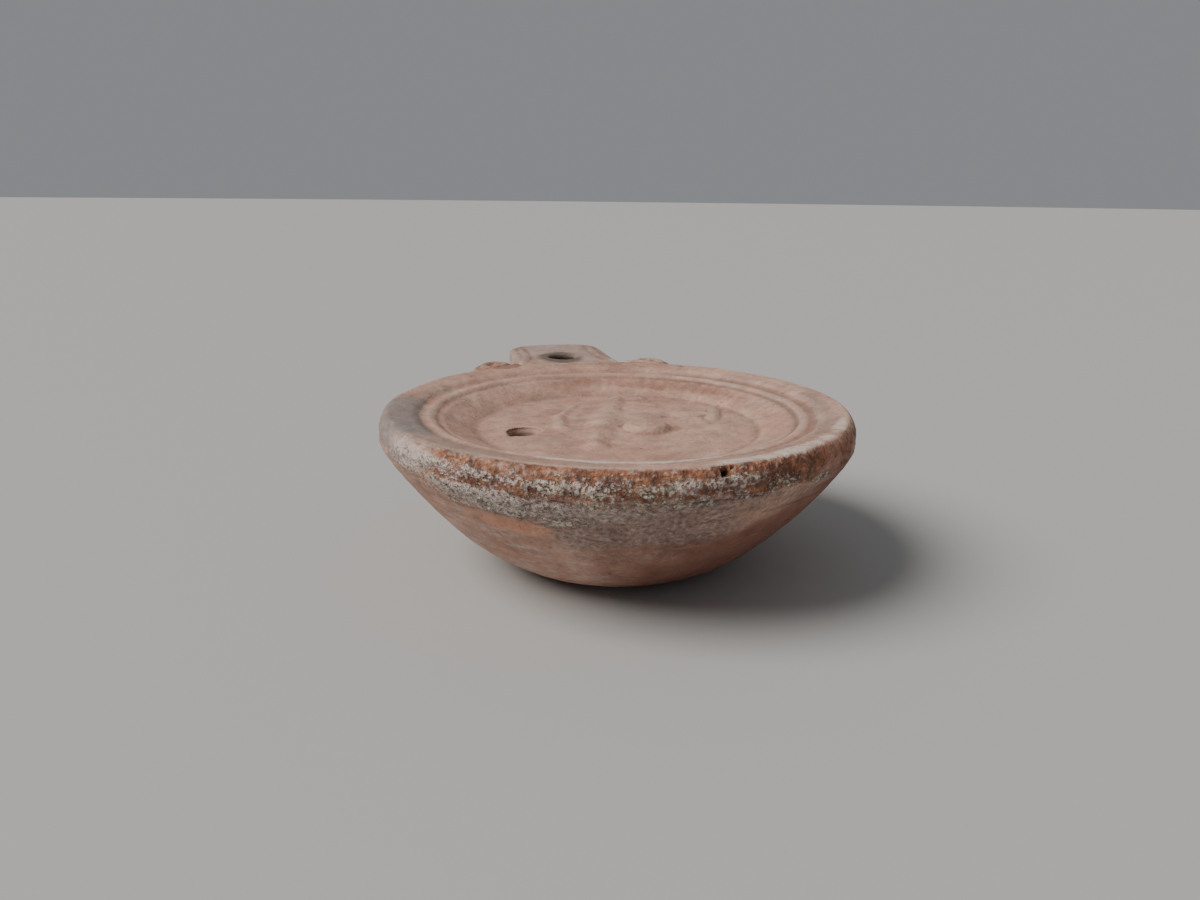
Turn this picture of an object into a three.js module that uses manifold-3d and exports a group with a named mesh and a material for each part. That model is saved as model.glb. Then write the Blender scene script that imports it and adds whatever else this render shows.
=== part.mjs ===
// A mould-made terracotta oil lamp with a round body, a sunken picture disc and a volute nozzle.
// Millimetres, +Z up. The origin is the centre of the flat base, and the nozzle points along +Y.
import * as THREE from "three";
import { ParametricGeometry } from "three/addons/geometries/ParametricGeometry.js";
import { mergeVertices } from "three/addons/utils/BufferGeometryUtils.js";
import Module from "manifold-3d";

// Body: one bowl below, a shoulder and a sunken disc above.
const BODY_RADIUS = 38; // at the widest circle, where the two moulds met
const BODY_HEIGHT = 25.7; // top of the shoulder above the base
const EDGE_DROP = 4.2; // from the top of the shoulder down to the widest circle
const BASE_RADIUS = 13;
const BOWL_POWER = 0.57; // the radius grows as this power of the height: 1 is a cone, less is fuller
const WALL = 3; // fired clay, everywhere

// Rings of the upper face, as widths from the edge inwards and drops from the shoulder's top.
const EDGE_ROUNDING = 1.8; // how far in the shoulder's outer edge rolls over
const SHOULDER_WIDTH = 4.9;
const SHOULDER_SLOPE = 0.5; // how far the shoulder falls towards the ridge
const RIDGE_WIDTH = 2.4; // the raised ring between the shoulder and the disc
const RIDGE_DROP = 1.1; // top of that ring below the shoulder's top
const GROOVE_WIDTH = 1.2; // of the ring's two grooves and of the one round the field
const GROOVE_DEPTH = 0.6;
const SLOPE_WIDTH = 5.5; // the band that falls from the ring to the picture field
const FIELD_DROP = 4; // the picture field below the shoulder's top
const FIELD_STEP = 0.6; // the slope's foot above the field

// Nozzle.
const NOZZLE_LENGTH = 26.5; // beyond the widest circle
const NOZZLE_WIDTH = 20.6; // along its straight part
const NOZZLE_FLARE = 3.4; // what the width gains towards the body
const NOZZLE_DEPTH = 13; // from its flat top to its underside, where the rounded tip starts
const NOZZLE_DROP = 0.9; // its flat top below the shoulder's top
const NOZZLE_EDGE = 1.2; // how far its upper edge rolls over
const KEEL_SLOPE = 0.15; // how fast the underside falls towards the body
const KEEL_FULLNESS = 0.8; // 1 is an ellipse across, less is squarer
const KEEL_TURN = 85; // degrees from the side round to the narrow flat of the keel
const TIP_LENGTH = 9.5; // the rounded end
const TIP_SQUARENESS = 3.4; // in plan: 2 is an ellipse, more is blunter
const TIP_LIFT = 0.6; // share of the tip's length that its underside falls back by
const WICK_HOLE_DIAMETER = 6;
const WICK_HOLE_TO_TIP = 16.5; // from the hole's centre to the tip

// Filling hole, through the picture field.
const FILL_HOLE_DIAMETER = 6;
const FILL_HOLE_TO_FIELD_EDGE = 5.1; // clay left between the hole and the field's edge
const FILL_HOLE_BEARING = 182; // degrees from +X, counter-clockwise

// Volutes, one on each side of the nozzle.
const VOLUTE_RADIUS = 4.9;
const VOLUTE_DEPTH = 8; // from its flat top down to where it dies into the body
const VOLUTE_SPREAD = 15.2; // from the middle plane to the scroll's centre
const VOLUTE_OVERHANG = 1.6; // from the widest circle out to the scroll's centre
const LINE_RADIUS = 0.75; // of the raised line that draws the scroll and its stem
const LINE_RISE = 0.5; // how far that line stands up
const SCROLL_TURNS = 1.15;
const SCROLL_EYE_RADIUS = 1.2;
const STEM_INSET = 2.4; // from the nozzle's side to the middle of the line that runs along it

// Relief in the field: a lunging fighter behind a round shield, worn smooth, its feet to the nozzle.
const RELIEF_HEIGHT = 0.95;

// Facets.
const BODY_FACETS = 72;
const CHAMBER_FACETS = 48;
const HOLE_FACETS = 28;
const VOLUTE_FACETS = 24;
const STRAIGHT_STEPS = 5; // along the nozzle's side
const TIP_STEPS = 8; // from its side to the middle of its tip
const ROLL_STEPS = 2; // over its upper edge
const KEEL_STEPS = 6; // from there down to the keel
const CUT_MARGIN = 6; // how far a cutting tool runs past what it cuts

const CLAY = new THREE.MeshStandardMaterial({ color: 0xb88669, roughness: 0.92, metalness: 0 });

// Profile of a volute's disc from its lowest point up, in shares of its radius and depth.
const VOLUTE_PROFILE = [
  [0, 0],
  [0.45, 0.15],
  [0.85, 0.5],
  [1, 0.8],
  [0.94, 1],
  [0, 1],
];

// The relief's pose, in shares of the field's radius.
const POSE = {
  head: [-0.26, -0.49],
  neck: [-0.22, -0.33],
  elbow: [-0.4, 0.02],
  hand: [-0.35, 0.32],
  blade: [-0.17, 0.64],
  hip: [-0.08, 0.08],
  frontKnee: [0.39, 0.28],
  frontHeel: [0.72, 0.21],
  frontSole: [0.72, 0.06],
  frontToe: [0.83, 0.33],
  backKnee: [0.08, 0.53],
  backHeel: [0.21, 0.83],
  backToe: [0.39, 0.81],
  cloakHem: [0.29, 0.67],
  cloakEnd: [0.44, 0.58],
  shield: [0.19, -0.09],
};

// The relief's mounds: from, to, width in shares of the field's radius, height in shares of the relief's.
const MOUNDS = [
  ["head", "head", 0.24, 1],
  ["neck", "hip", 0.32, 0.95],
  ["neck", "elbow", 0.15, 0.75],
  ["elbow", "hand", 0.13, 0.65],
  ["hand", "blade", 0.09, 0.5],
  ["hip", "frontKnee", 0.23, 0.9],
  ["frontKnee", "frontHeel", 0.17, 0.75],
  ["frontSole", "frontToe", 0.12, 0.6],
  ["hip", "backKnee", 0.24, 0.9],
  ["backKnee", "backHeel", 0.18, 0.8],
  ["backHeel", "backToe", 0.13, 0.6],
  ["cloakHem", "cloakEnd", 0.1, 0.45],
  ["shield", "shield", 0.32, 1.3],
];

const shoulderTop = BODY_HEIGHT;
const widestHeight = shoulderTop - EDGE_DROP;
const edgeRadius = BODY_RADIUS - EDGE_ROUNDING;
const ridgeOuter = edgeRadius - SHOULDER_WIDTH;
const ridgeInner = ridgeOuter - RIDGE_WIDTH;
const ridgeTop = shoulderTop - RIDGE_DROP;
const fieldRadius = ridgeInner - SLOPE_WIDTH;
const fieldHeight = shoulderTop - FIELD_DROP;
const ceiling = fieldHeight - WALL;
const ridgeCeiling = ridgeTop - GROOVE_DEPTH - WALL;
const recessRadius = ridgeOuter + GROOVE_WIDTH / 2;
const nozzleTop = shoulderTop - NOZZLE_DROP;
const tipY = BODY_RADIUS + NOZZLE_LENGTH;
const tipStart = tipY - TIP_LENGTH;
const wickHoleY = tipY - WICK_HOLE_TO_TIP;
const voluteY = Math.sqrt((BODY_RADIUS + VOLUTE_OVERHANG) ** 2 - VOLUTE_SPREAD ** 2);

const wasm = await Module();
wasm.setup();

// A three.js geometry as a solid, with its shared corners merged and its empty triangles dropped.
function solid(geometry) {
  const bare = geometry.clone();
  bare.deleteAttribute("normal");
  bare.deleteAttribute("uv");
  const merged = mergeVertices(bare, 1e-4);
  const corners = merged.index.array;
  const kept = [];
  for (let i = 0; i < corners.length; i += 3) {
    const [a, b, c] = corners.slice(i, i + 3);
    if (a !== b && b !== c && a !== c) kept.push(a, b, c);
  }
  const vertProperties = merged.attributes.position.array;
  const triVerts = new Uint32Array(kept);
  return new wasm.Manifold(new wasm.Mesh({ numProp: 3, vertProperties, triVerts }));
}

// A solid turned from [radius, height] pairs, listed from the bottom of the axis to its top.
function turned(profile, facets) {
  const points = profile.map(([radius, height]) => new THREE.Vector2(radius, height));
  return solid(new THREE.LatheGeometry(points, facets).rotateX(Math.PI / 2));
}

function cylinder(radius, low, high, x = 0, y = 0, facets = HOLE_FACETS) {
  const made = new THREE.CylinderGeometry(radius, radius, high - low, facets);
  return solid(made.rotateX(Math.PI / 2).translate(x, y, (low + high) / 2));
}

// The bowl from the base's edge up to just under the widest circle, moved in by an inset along its normal.
function bowlCurve(inset, steps) {
  const spread = BODY_RADIUS - BASE_RADIUS;
  const power = 2 * BOWL_POWER;
  const points = [];
  for (let i = 0; i < steps; i++) {
    const share = i / steps;
    const radius = BASE_RADIUS + spread * share ** power;
    const height = widestHeight * share ** 2;
    const outward = i === 0 ? 1 : power * spread * share ** (power - 1);
    const upward = 2 * widestHeight * share;
    const length = Math.hypot(outward, upward);
    points.push([radius - (inset * upward) / length, height + (inset * outward) / length]);
  }
  return points;
}

// The rolled edge from the widest circle up to the top of the shoulder, moved in by an inset.
function rolledEdge(inset, steps) {
  const points = [];
  for (let i = 0; i <= steps; i++) {
    const angle = ((i / steps) * Math.PI) / 2;
    const radius = edgeRadius + (EDGE_ROUNDING - inset) * Math.cos(angle);
    const height = widestHeight + (EDGE_DROP - inset) * Math.sin(angle);
    points.push([radius, height]);
  }
  return points;
}

// The upper face from the shoulder in to the picture field: a ridge between two grooves, a slope and a step.
function upperFace() {
  const side = GROOVE_WIDTH / 2;
  return [
    [recessRadius + side, shoulderTop - SHOULDER_SLOPE],
    [recessRadius, ridgeTop - GROOVE_DEPTH],
    [recessRadius - side, ridgeTop - GROOVE_DEPTH],
    [recessRadius - 2 * side, ridgeTop],
    [ridgeInner + side, ridgeTop],
    [ridgeInner, ridgeTop - GROOVE_DEPTH],
    [ridgeInner - side, ridgeTop - GROOVE_DEPTH],
    [fieldRadius + side, fieldHeight + FIELD_STEP],
    [fieldRadius, fieldHeight + FIELD_STEP],
    [fieldRadius - side, fieldHeight - GROOVE_DEPTH / 2],
    [fieldRadius - 2 * side, fieldHeight],
    [0, fieldHeight],
  ];
}

function bodyOutside() {
  return turned([[0, 0], ...bowlCurve(0, 11), ...rolledEdge(0, 4), ...upperFace()], BODY_FACETS);
}

// The oil chamber: the body's profile moved in by the wall, with a flat ceiling under the picture field.
function chamber() {
  const underDisc = [
    [ridgeOuter, ridgeCeiling],
    [fieldRadius, ceiling],
    [0, ceiling],
  ];
  return turned([[0, WALL], ...bowlCurve(WALL, 8), ...rolledEdge(WALL, 2), ...underDisc], CHAMBER_FACETS);
}

// The disc's clay and the space over it, inside the shoulder: the nozzle neither fills nor hollows any of it.
function discSpace() {
  const high = shoulderTop + CUT_MARGIN;
  const profile = [
    [0, ceiling],
    [fieldRadius, ceiling],
    [ridgeOuter, ridgeCeiling],
    [recessRadius, ridgeCeiling],
    [recessRadius, high],
    [0, high],
  ];
  return turned(profile, BODY_FACETS);
}

// Half the nozzle's width at a place along it.
function nozzleHalfWidth(y) {
  const flare = THREE.MathUtils.clamp((tipStart - y) / NOZZLE_LENGTH, 0, 1);
  return (NOZZLE_WIDTH + NOZZLE_FLARE * flare ** 2) / 2;
}

// A point of the nozzle's outline in plan, on its +X side, counted from the body to the middle of the tip.
function nozzleOutline(step, inset) {
  if (step <= STRAIGHT_STEPS) {
    const y = fieldRadius + (tipStart - fieldRadius) * (step / STRAIGHT_STEPS);
    return [nozzleHalfWidth(y) - inset, y];
  }
  const angle = (((step - STRAIGHT_STEPS) / TIP_STEPS) * Math.PI) / 2;
  const across = step === STRAIGHT_STEPS + TIP_STEPS ? 0 : Math.cos(angle) ** (2 / TIP_SQUARENESS);
  const along = Math.sin(angle) ** (2 / TIP_SQUARENESS);
  return [(nozzleHalfWidth(tipStart) - inset) * across, tipStart + (TIP_LENGTH - inset) * along];
}

// A level of the nozzle, counted down from its flat top: how far the rolled edge pulls its outline in and
// drops it, and the shares of the nozzle's full width and depth that the keel has there.
function nozzleLevel(level) {
  const roll = (Math.min(1, (level - 1) / ROLL_STEPS) * Math.PI) / 2;
  const keel = (Math.max(0, (level - 1 - ROLL_STEPS) / KEEL_STEPS) * KEEL_TURN * Math.PI) / 180;
  return {
    pull: NOZZLE_EDGE * (1 - Math.sin(roll)),
    drop: NOZZLE_EDGE * (1 - Math.cos(roll)),
    width: Math.cos(keel) ** KEEL_FULLNESS,
    depth: Math.sin(keel) ** KEEL_FULLNESS,
  };
}

// A closed boat shape along +Y, from inside the body to the tip, moved in by an inset. It is laid up in
// levels from the middle of its flat top, over the rolled edge and down the sides to the middle of the keel.
function nozzleForm(inset) {
  const sideSteps = STRAIGHT_STEPS + TIP_STEPS;
  const corners = 2 * sideSteps + 1;
  const levels = ROLL_STEPS + KEEL_STEPS + 2;
  const top = nozzleTop - inset;
  const surface = (u, v, target) => {
    const corner = Math.round((1 - u) * corners) % corners;
    const level = Math.round(v * levels);
    const mirrored = corner > sideSteps;
    const [half, y] = nozzleOutline(mirrored ? 2 * sideSteps - corner : corner, inset);
    const fullDepth = NOZZLE_DEPTH + KEEL_SLOPE * Math.max(0, tipStart - y) - 2 * inset;
    const { pull, drop, width, depth } = nozzleLevel(THREE.MathUtils.clamp(level, 1, levels - 1));
    if (level === 0 || level === levels) {
      target.set(0, tipStart, top - (level === 0 ? 0 : NOZZLE_DEPTH - 2 * inset));
      return;
    }
    const x = half * width * (1 - pull / nozzleHalfWidth(tipStart));
    const beyond = Math.max(0, y - tipStart) * (1 - TIP_LIFT * (1 - width)) * (1 - pull / TIP_LENGTH);
    target.set(mirrored ? -x : x, Math.min(y, tipStart) + beyond, top - drop - (fullDepth - drop) * depth);
  };
  return solid(new ParametricGeometry(surface, corners, levels));
}

function voluteDisc(side) {
  const low = nozzleTop - VOLUTE_DEPTH;
  const profile = VOLUTE_PROFILE.map(([r, z]) => [VOLUTE_RADIUS * r, low + VOLUTE_DEPTH * z]);
  return turned(profile, VOLUTE_FACETS).translate(side * VOLUTE_SPREAD, voluteY, 0);
}

// The middle of a volute's raised line: a stem along the nozzle's edge that curls into a scroll.
function volutePath(side) {
  const stemX = nozzleHalfWidth(tipStart) - STEM_INSET;
  const points = [
    [stemX, tipY - TIP_LENGTH * 0.6],
    [stemX, (tipStart + wickHoleY) / 2],
    [stemX + LINE_RADIUS / 2, wickHoleY],
  ];
  const outer = VOLUTE_RADIUS - LINE_RADIUS;
  const inner = SCROLL_EYE_RADIUS + LINE_RADIUS;
  const steps = Math.ceil(SCROLL_TURNS * 10);
  for (let i = 0; i <= steps; i++) {
    const share = i / steps;
    const angle = Math.PI + share * SCROLL_TURNS * 2 * Math.PI;
    const radius = outer + (inner - outer) * share;
    points.push([VOLUTE_SPREAD + radius * Math.cos(angle), voluteY + radius * Math.sin(angle)]);
  }
  return new THREE.CatmullRomCurve3(points.map(([x, y]) => new THREE.Vector3(side * x, y, 0)));
}

function voluteLine(side) {
  const section = new THREE.Shape().absarc(0, 0, LINE_RADIUS, 0, 2 * Math.PI);
  const extrudePath = volutePath(side);
  const line = new THREE.ExtrudeGeometry(section, { extrudePath, steps: 48, curveSegments: 3 });
  const eye = new THREE.SphereGeometry(SCROLL_EYE_RADIUS, 10, 6);
  const raised = solid(line).add(solid(eye.translate(side * VOLUTE_SPREAD, voluteY, 0)));
  return raised.translate(0, 0, nozzleTop + LINE_RISE - LINE_RADIUS);
}

// A low rounded mound between two points of the pose.
function mound([start, end, width, height]) {
  const from = new THREE.Vector2(...POSE[start]).multiplyScalar(fieldRadius);
  const to = new THREE.Vector2(...POSE[end]).multiplyScalar(fieldRadius);
  const half = (width * fieldRadius) / 2;
  const made = new THREE.SphereGeometry(1, 12, 8).rotateX(Math.PI / 2);
  made.scale(from.distanceTo(to) / 2 + half, half, RELIEF_HEIGHT * height);
  made.rotateZ(to.clone().sub(from).angle());
  return solid(made.translate((from.x + to.x) / 2, (from.y + to.y) / 2, fieldHeight));
}

function fillHole() {
  const bearing = THREE.MathUtils.degToRad(FILL_HOLE_BEARING);
  const reach = fieldRadius - FILL_HOLE_TO_FIELD_EDGE - FILL_HOLE_DIAMETER / 2;
  const [x, y] = [reach * Math.cos(bearing), reach * Math.sin(bearing)];
  return cylinder(FILL_HOLE_DIAMETER / 2, ceiling - CUT_MARGIN, shoulderTop, x, y);
}

function wickHole() {
  const low = nozzleTop - WALL - NOZZLE_EDGE;
  return cylinder(WICK_HOLE_DIAMETER / 2, low, shoulderTop + CUT_MARGIN, 0, wickHoleY);
}

function lampBody() {
  const disc = discSpace();
  const hollow = chamber().add(nozzleForm(WALL).subtract(disc));
  let clay = bodyOutside().add(nozzleForm(0).subtract(disc));
  for (const one of MOUNDS) clay = clay.add(mound(one));
  for (const side of [-1, 1]) clay = clay.add(voluteDisc(side)).add(voluteLine(side));
  return clay.subtract(hollow).subtract(fillHole()).subtract(wickHole());
}

// A solid as a named mesh.
function mesh(name, made, material) {
  const { vertProperties, triVerts } = made.getMesh();
  const geometry = new THREE.BufferGeometry();
  geometry.setAttribute("position", new THREE.BufferAttribute(vertProperties, 3));
  geometry.setIndex(new THREE.BufferAttribute(triVerts, 1));
  const named = new THREE.Mesh(geometry, material);
  named.name = name;
  return named;
}

const lamp = new THREE.Group();
lamp.add(mesh("lamp_body", lampBody(), CLAY));
export default lamp;
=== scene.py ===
"""A worn terracotta oil lamp with a picture disc and a volute nozzle, shown in place of its plain solid.

Sizes in the classes are in millimetres, in the frame of the solid: +Z is up, the nozzle points along +Y and
the origin is the middle of the base. They become metres when a mesh is made.
"""
import logging
import math
from dataclasses import dataclass, field
from enum import Enum

import bmesh
import bpy
import numpy as np
from mathutils import Matrix, Vector
from mathutils.bvhtree import BVHTree


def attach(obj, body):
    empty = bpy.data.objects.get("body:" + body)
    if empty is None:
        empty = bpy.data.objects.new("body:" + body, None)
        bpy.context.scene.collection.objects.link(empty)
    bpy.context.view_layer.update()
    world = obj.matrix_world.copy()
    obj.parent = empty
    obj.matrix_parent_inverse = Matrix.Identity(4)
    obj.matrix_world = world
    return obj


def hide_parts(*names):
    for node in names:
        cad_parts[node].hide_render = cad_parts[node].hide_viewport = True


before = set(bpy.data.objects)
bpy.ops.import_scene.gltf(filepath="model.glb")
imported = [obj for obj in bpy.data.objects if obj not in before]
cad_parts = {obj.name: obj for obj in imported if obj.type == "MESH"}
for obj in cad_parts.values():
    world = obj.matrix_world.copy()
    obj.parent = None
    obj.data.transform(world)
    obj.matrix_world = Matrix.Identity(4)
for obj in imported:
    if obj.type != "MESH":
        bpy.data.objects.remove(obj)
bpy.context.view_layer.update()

log = logging.getLogger("lamp")
MM = 0.001
BODY_RADIUS = 38.0
Triple = tuple[float, float, float]
Colour = tuple[float, float, float, float]
Socket = bpy.types.NodeSocket
Number = float | Socket


def smooth(low: float, high: float, values: np.ndarray) -> np.ndarray:
    """Rises smoothly from 0 at low to 1 at high, or falls if low is the larger.

    Args:
        low: The value where the result is 0.
        high: The value where the result is 1.
        values: What is compared with them.

    Returns:
        Shares from 0 to 1.
    """
    share = np.clip((values - low) / (high - low), 0.0, 1.0)
    return share * share * (3.0 - 2.0 * share)


def turned_from(middle: float, bearings: np.ndarray) -> np.ndarray:
    """Returns how far bearings are turned from the middle one, from -180 to 180 degrees."""
    return (bearings - middle + 180.0) % 360.0 - 180.0


def bump(values: np.ndarray, middle: float, spread: float) -> np.ndarray:
    """Returns a soft bump of height 1 at the middle, which fades over the spread."""
    return np.exp(-(((values - middle) / spread) ** 2))


class ClayNoise:
    """Smooth, seeded random variation through space, for shapes and for masks."""

    CELL_FACTORS = (73856093, 19349663, 83492791)
    SEED_FACTOR = 2654435761
    STIRRING = ((16, 2246822519), (13, 3266489917))
    LOW_BITS = 0xFFFFFFFF
    FINER = 2.03
    WEAKER = 0.55
    APART = 31.7

    def __init__(self, seed: int) -> None:
        """Keeps the seed that all its values start from."""
        self.seed = seed

    def _corner(self, cells: np.ndarray) -> np.ndarray:
        """Returns an even random value from -1 to 1 for each whole-numbered cell.

        Args:
            cells: Whole-numbered places, one row each.

        Returns:
            One value for each cell.
        """
        mixed = np.full(len(cells), self.seed * self.SEED_FACTOR, dtype=np.int64)
        for axis, factor in enumerate(self.CELL_FACTORS):
            mixed ^= cells[:, axis] * factor
        mixed &= self.LOW_BITS
        for shift, factor in self.STIRRING:
            mixed = ((mixed ^ (mixed >> shift)) * factor) & self.LOW_BITS
        return (mixed ^ (mixed >> 16)).astype(float) / (self.LOW_BITS // 2) - 1.0

    def value(self, points: np.ndarray, size: float | Triple) -> np.ndarray:
        """Returns smooth noise from -1 to 1.

        Args:
            points: Places, one row each.
            size: Length of one wave, the same each way or one length for each axis.

        Returns:
            One value for each place.
        """
        scaled = points / np.asarray(size, dtype=float)
        cells = np.floor(scaled).astype(np.int64)
        part = scaled - cells
        part = part * part * (3.0 - 2.0 * part)
        total = np.zeros(len(points))
        for corner in range(8):
            step = np.array([corner & 1, (corner >> 1) & 1, corner >> 2])
            weight = np.prod(np.where(step == 1, part, 1.0 - part), axis=1)
            total += weight * self._corner(cells + step)
        return total

    def layered(self, points: np.ndarray, size: float | Triple, layers: int) -> np.ndarray:
        """Returns the sum of noise at a size and at ever finer ones, from about -1 to 1.

        Args:
            points: Places, one row each.
            size: Length of the longest waves.
            layers: How many sizes are summed.

        Returns:
            One value for each place.
        """
        total = np.zeros(len(points))
        weight = 1.0
        whole = 0.0
        waves = np.asarray(size, dtype=float)
        for layer in range(layers):
            total += weight * self.value(points + self.APART * layer, waves)
            whole += weight
            weight *= self.WEAKER
            waves = waves / self.FINER
        return total / whole


@dataclass
class Shell:
    """A closed mesh laid up ring by ring, in millimetres."""

    name: str
    rings: list[np.ndarray] = field(default_factory=list)

    def ring(self, points: np.ndarray) -> None:
        """Adds a ring of points."""
        self.rings.append(points)

    def point(self, height: float, x: float = 0.0, y: float = 0.0) -> None:
        """Adds a single point, which closes the shell."""
        self.ring(np.array([[x, y, height]]))

    def circle(self, radius: float, height: float, columns: int) -> None:
        """Adds a level circle about the Z axis.

        Args:
            radius: Its radius.
            height: Its height.
            columns: How many points it has.
        """
        turn = np.arange(columns) * (2.0 * math.pi / columns)
        self.ring(np.column_stack([radius * np.cos(turn), radius * np.sin(turn), np.full(columns, height)]))

    def band(self, first: np.ndarray, second: np.ndarray) -> list[tuple[int, ...]]:
        """Works out the faces between two rings of equal length, one twice the other, or one a single point.

        Args:
            first: Numbers of the ring that comes first along the profile.
            second: Numbers of the ring that follows it.

        Returns:
            The numbers of each face's corners.
        """
        if len(second) < len(first):
            return [face[::-1] for face in self.band(second, first)]
        many = len(second)
        faces = []
        for here in range(many):
            there = (here + 1) % many
            if len(first) == 1:
                faces.append((first[0], second[here], second[there]))
            elif len(first) == many:
                faces.append((first[here], second[here], second[there], first[there]))
            elif here % 2 == 0:
                faces.append((first[here // 2], second[here], second[there]))
            else:
                after = first[((here + 1) // 2) % len(first)]
                faces.append((first[here // 2], second[here], second[there], after))
        return faces

    def build(self) -> bpy.types.Object:
        """Makes the object, with double points merged and every face turned outwards.

        Returns:
            The new object, linked to the scene.
        """
        ends = np.cumsum([len(ring) for ring in self.rings])
        numbers = [np.arange(end - len(ring), end) for end, ring in zip(ends, self.rings)]
        faces = [face for first, second in zip(numbers, numbers[1:]) for face in self.band(first, second)]
        mesh = bpy.data.meshes.new(self.name)
        mesh.from_pydata((np.vstack(self.rings) * MM).tolist(), [], faces)
        work = bmesh.new()
        work.from_mesh(mesh)
        bmesh.ops.remove_doubles(work, verts=work.verts, dist=1e-7)
        bmesh.ops.recalc_face_normals(work, faces=work.faces)
        work.to_mesh(mesh)
        work.free()
        made = bpy.data.objects.new(self.name, mesh)
        bpy.context.scene.collection.objects.link(made)
        return made


class Cut(Enum):
    """How one shape changes another."""

    JOIN = "UNION"
    REMOVE = "DIFFERENCE"


def carve(base: bpy.types.Object, tool: bpy.types.Object, cut: Cut) -> None:
    """Joins a tool to the base or removes it from the base, and deletes the tool.

    Args:
        base: The object that changes.
        tool: The closed object that is joined or removed.
        cut: Which of the two happens.
    """
    modifier = base.modifiers.new("carve", "BOOLEAN")
    modifier.operation = cut.value
    modifier.solver = "MANIFOLD"
    modifier.object = tool
    bpy.context.view_layer.update()
    graph = bpy.context.evaluated_depsgraph_get()
    mesh = bpy.data.meshes.new_from_object(base.evaluated_get(graph))
    base.modifiers.clear()
    old = base.data
    base.data = mesh
    bpy.data.meshes.remove(old)
    gone = tool.data
    bpy.data.objects.remove(tool)
    bpy.data.meshes.remove(gone)


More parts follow.
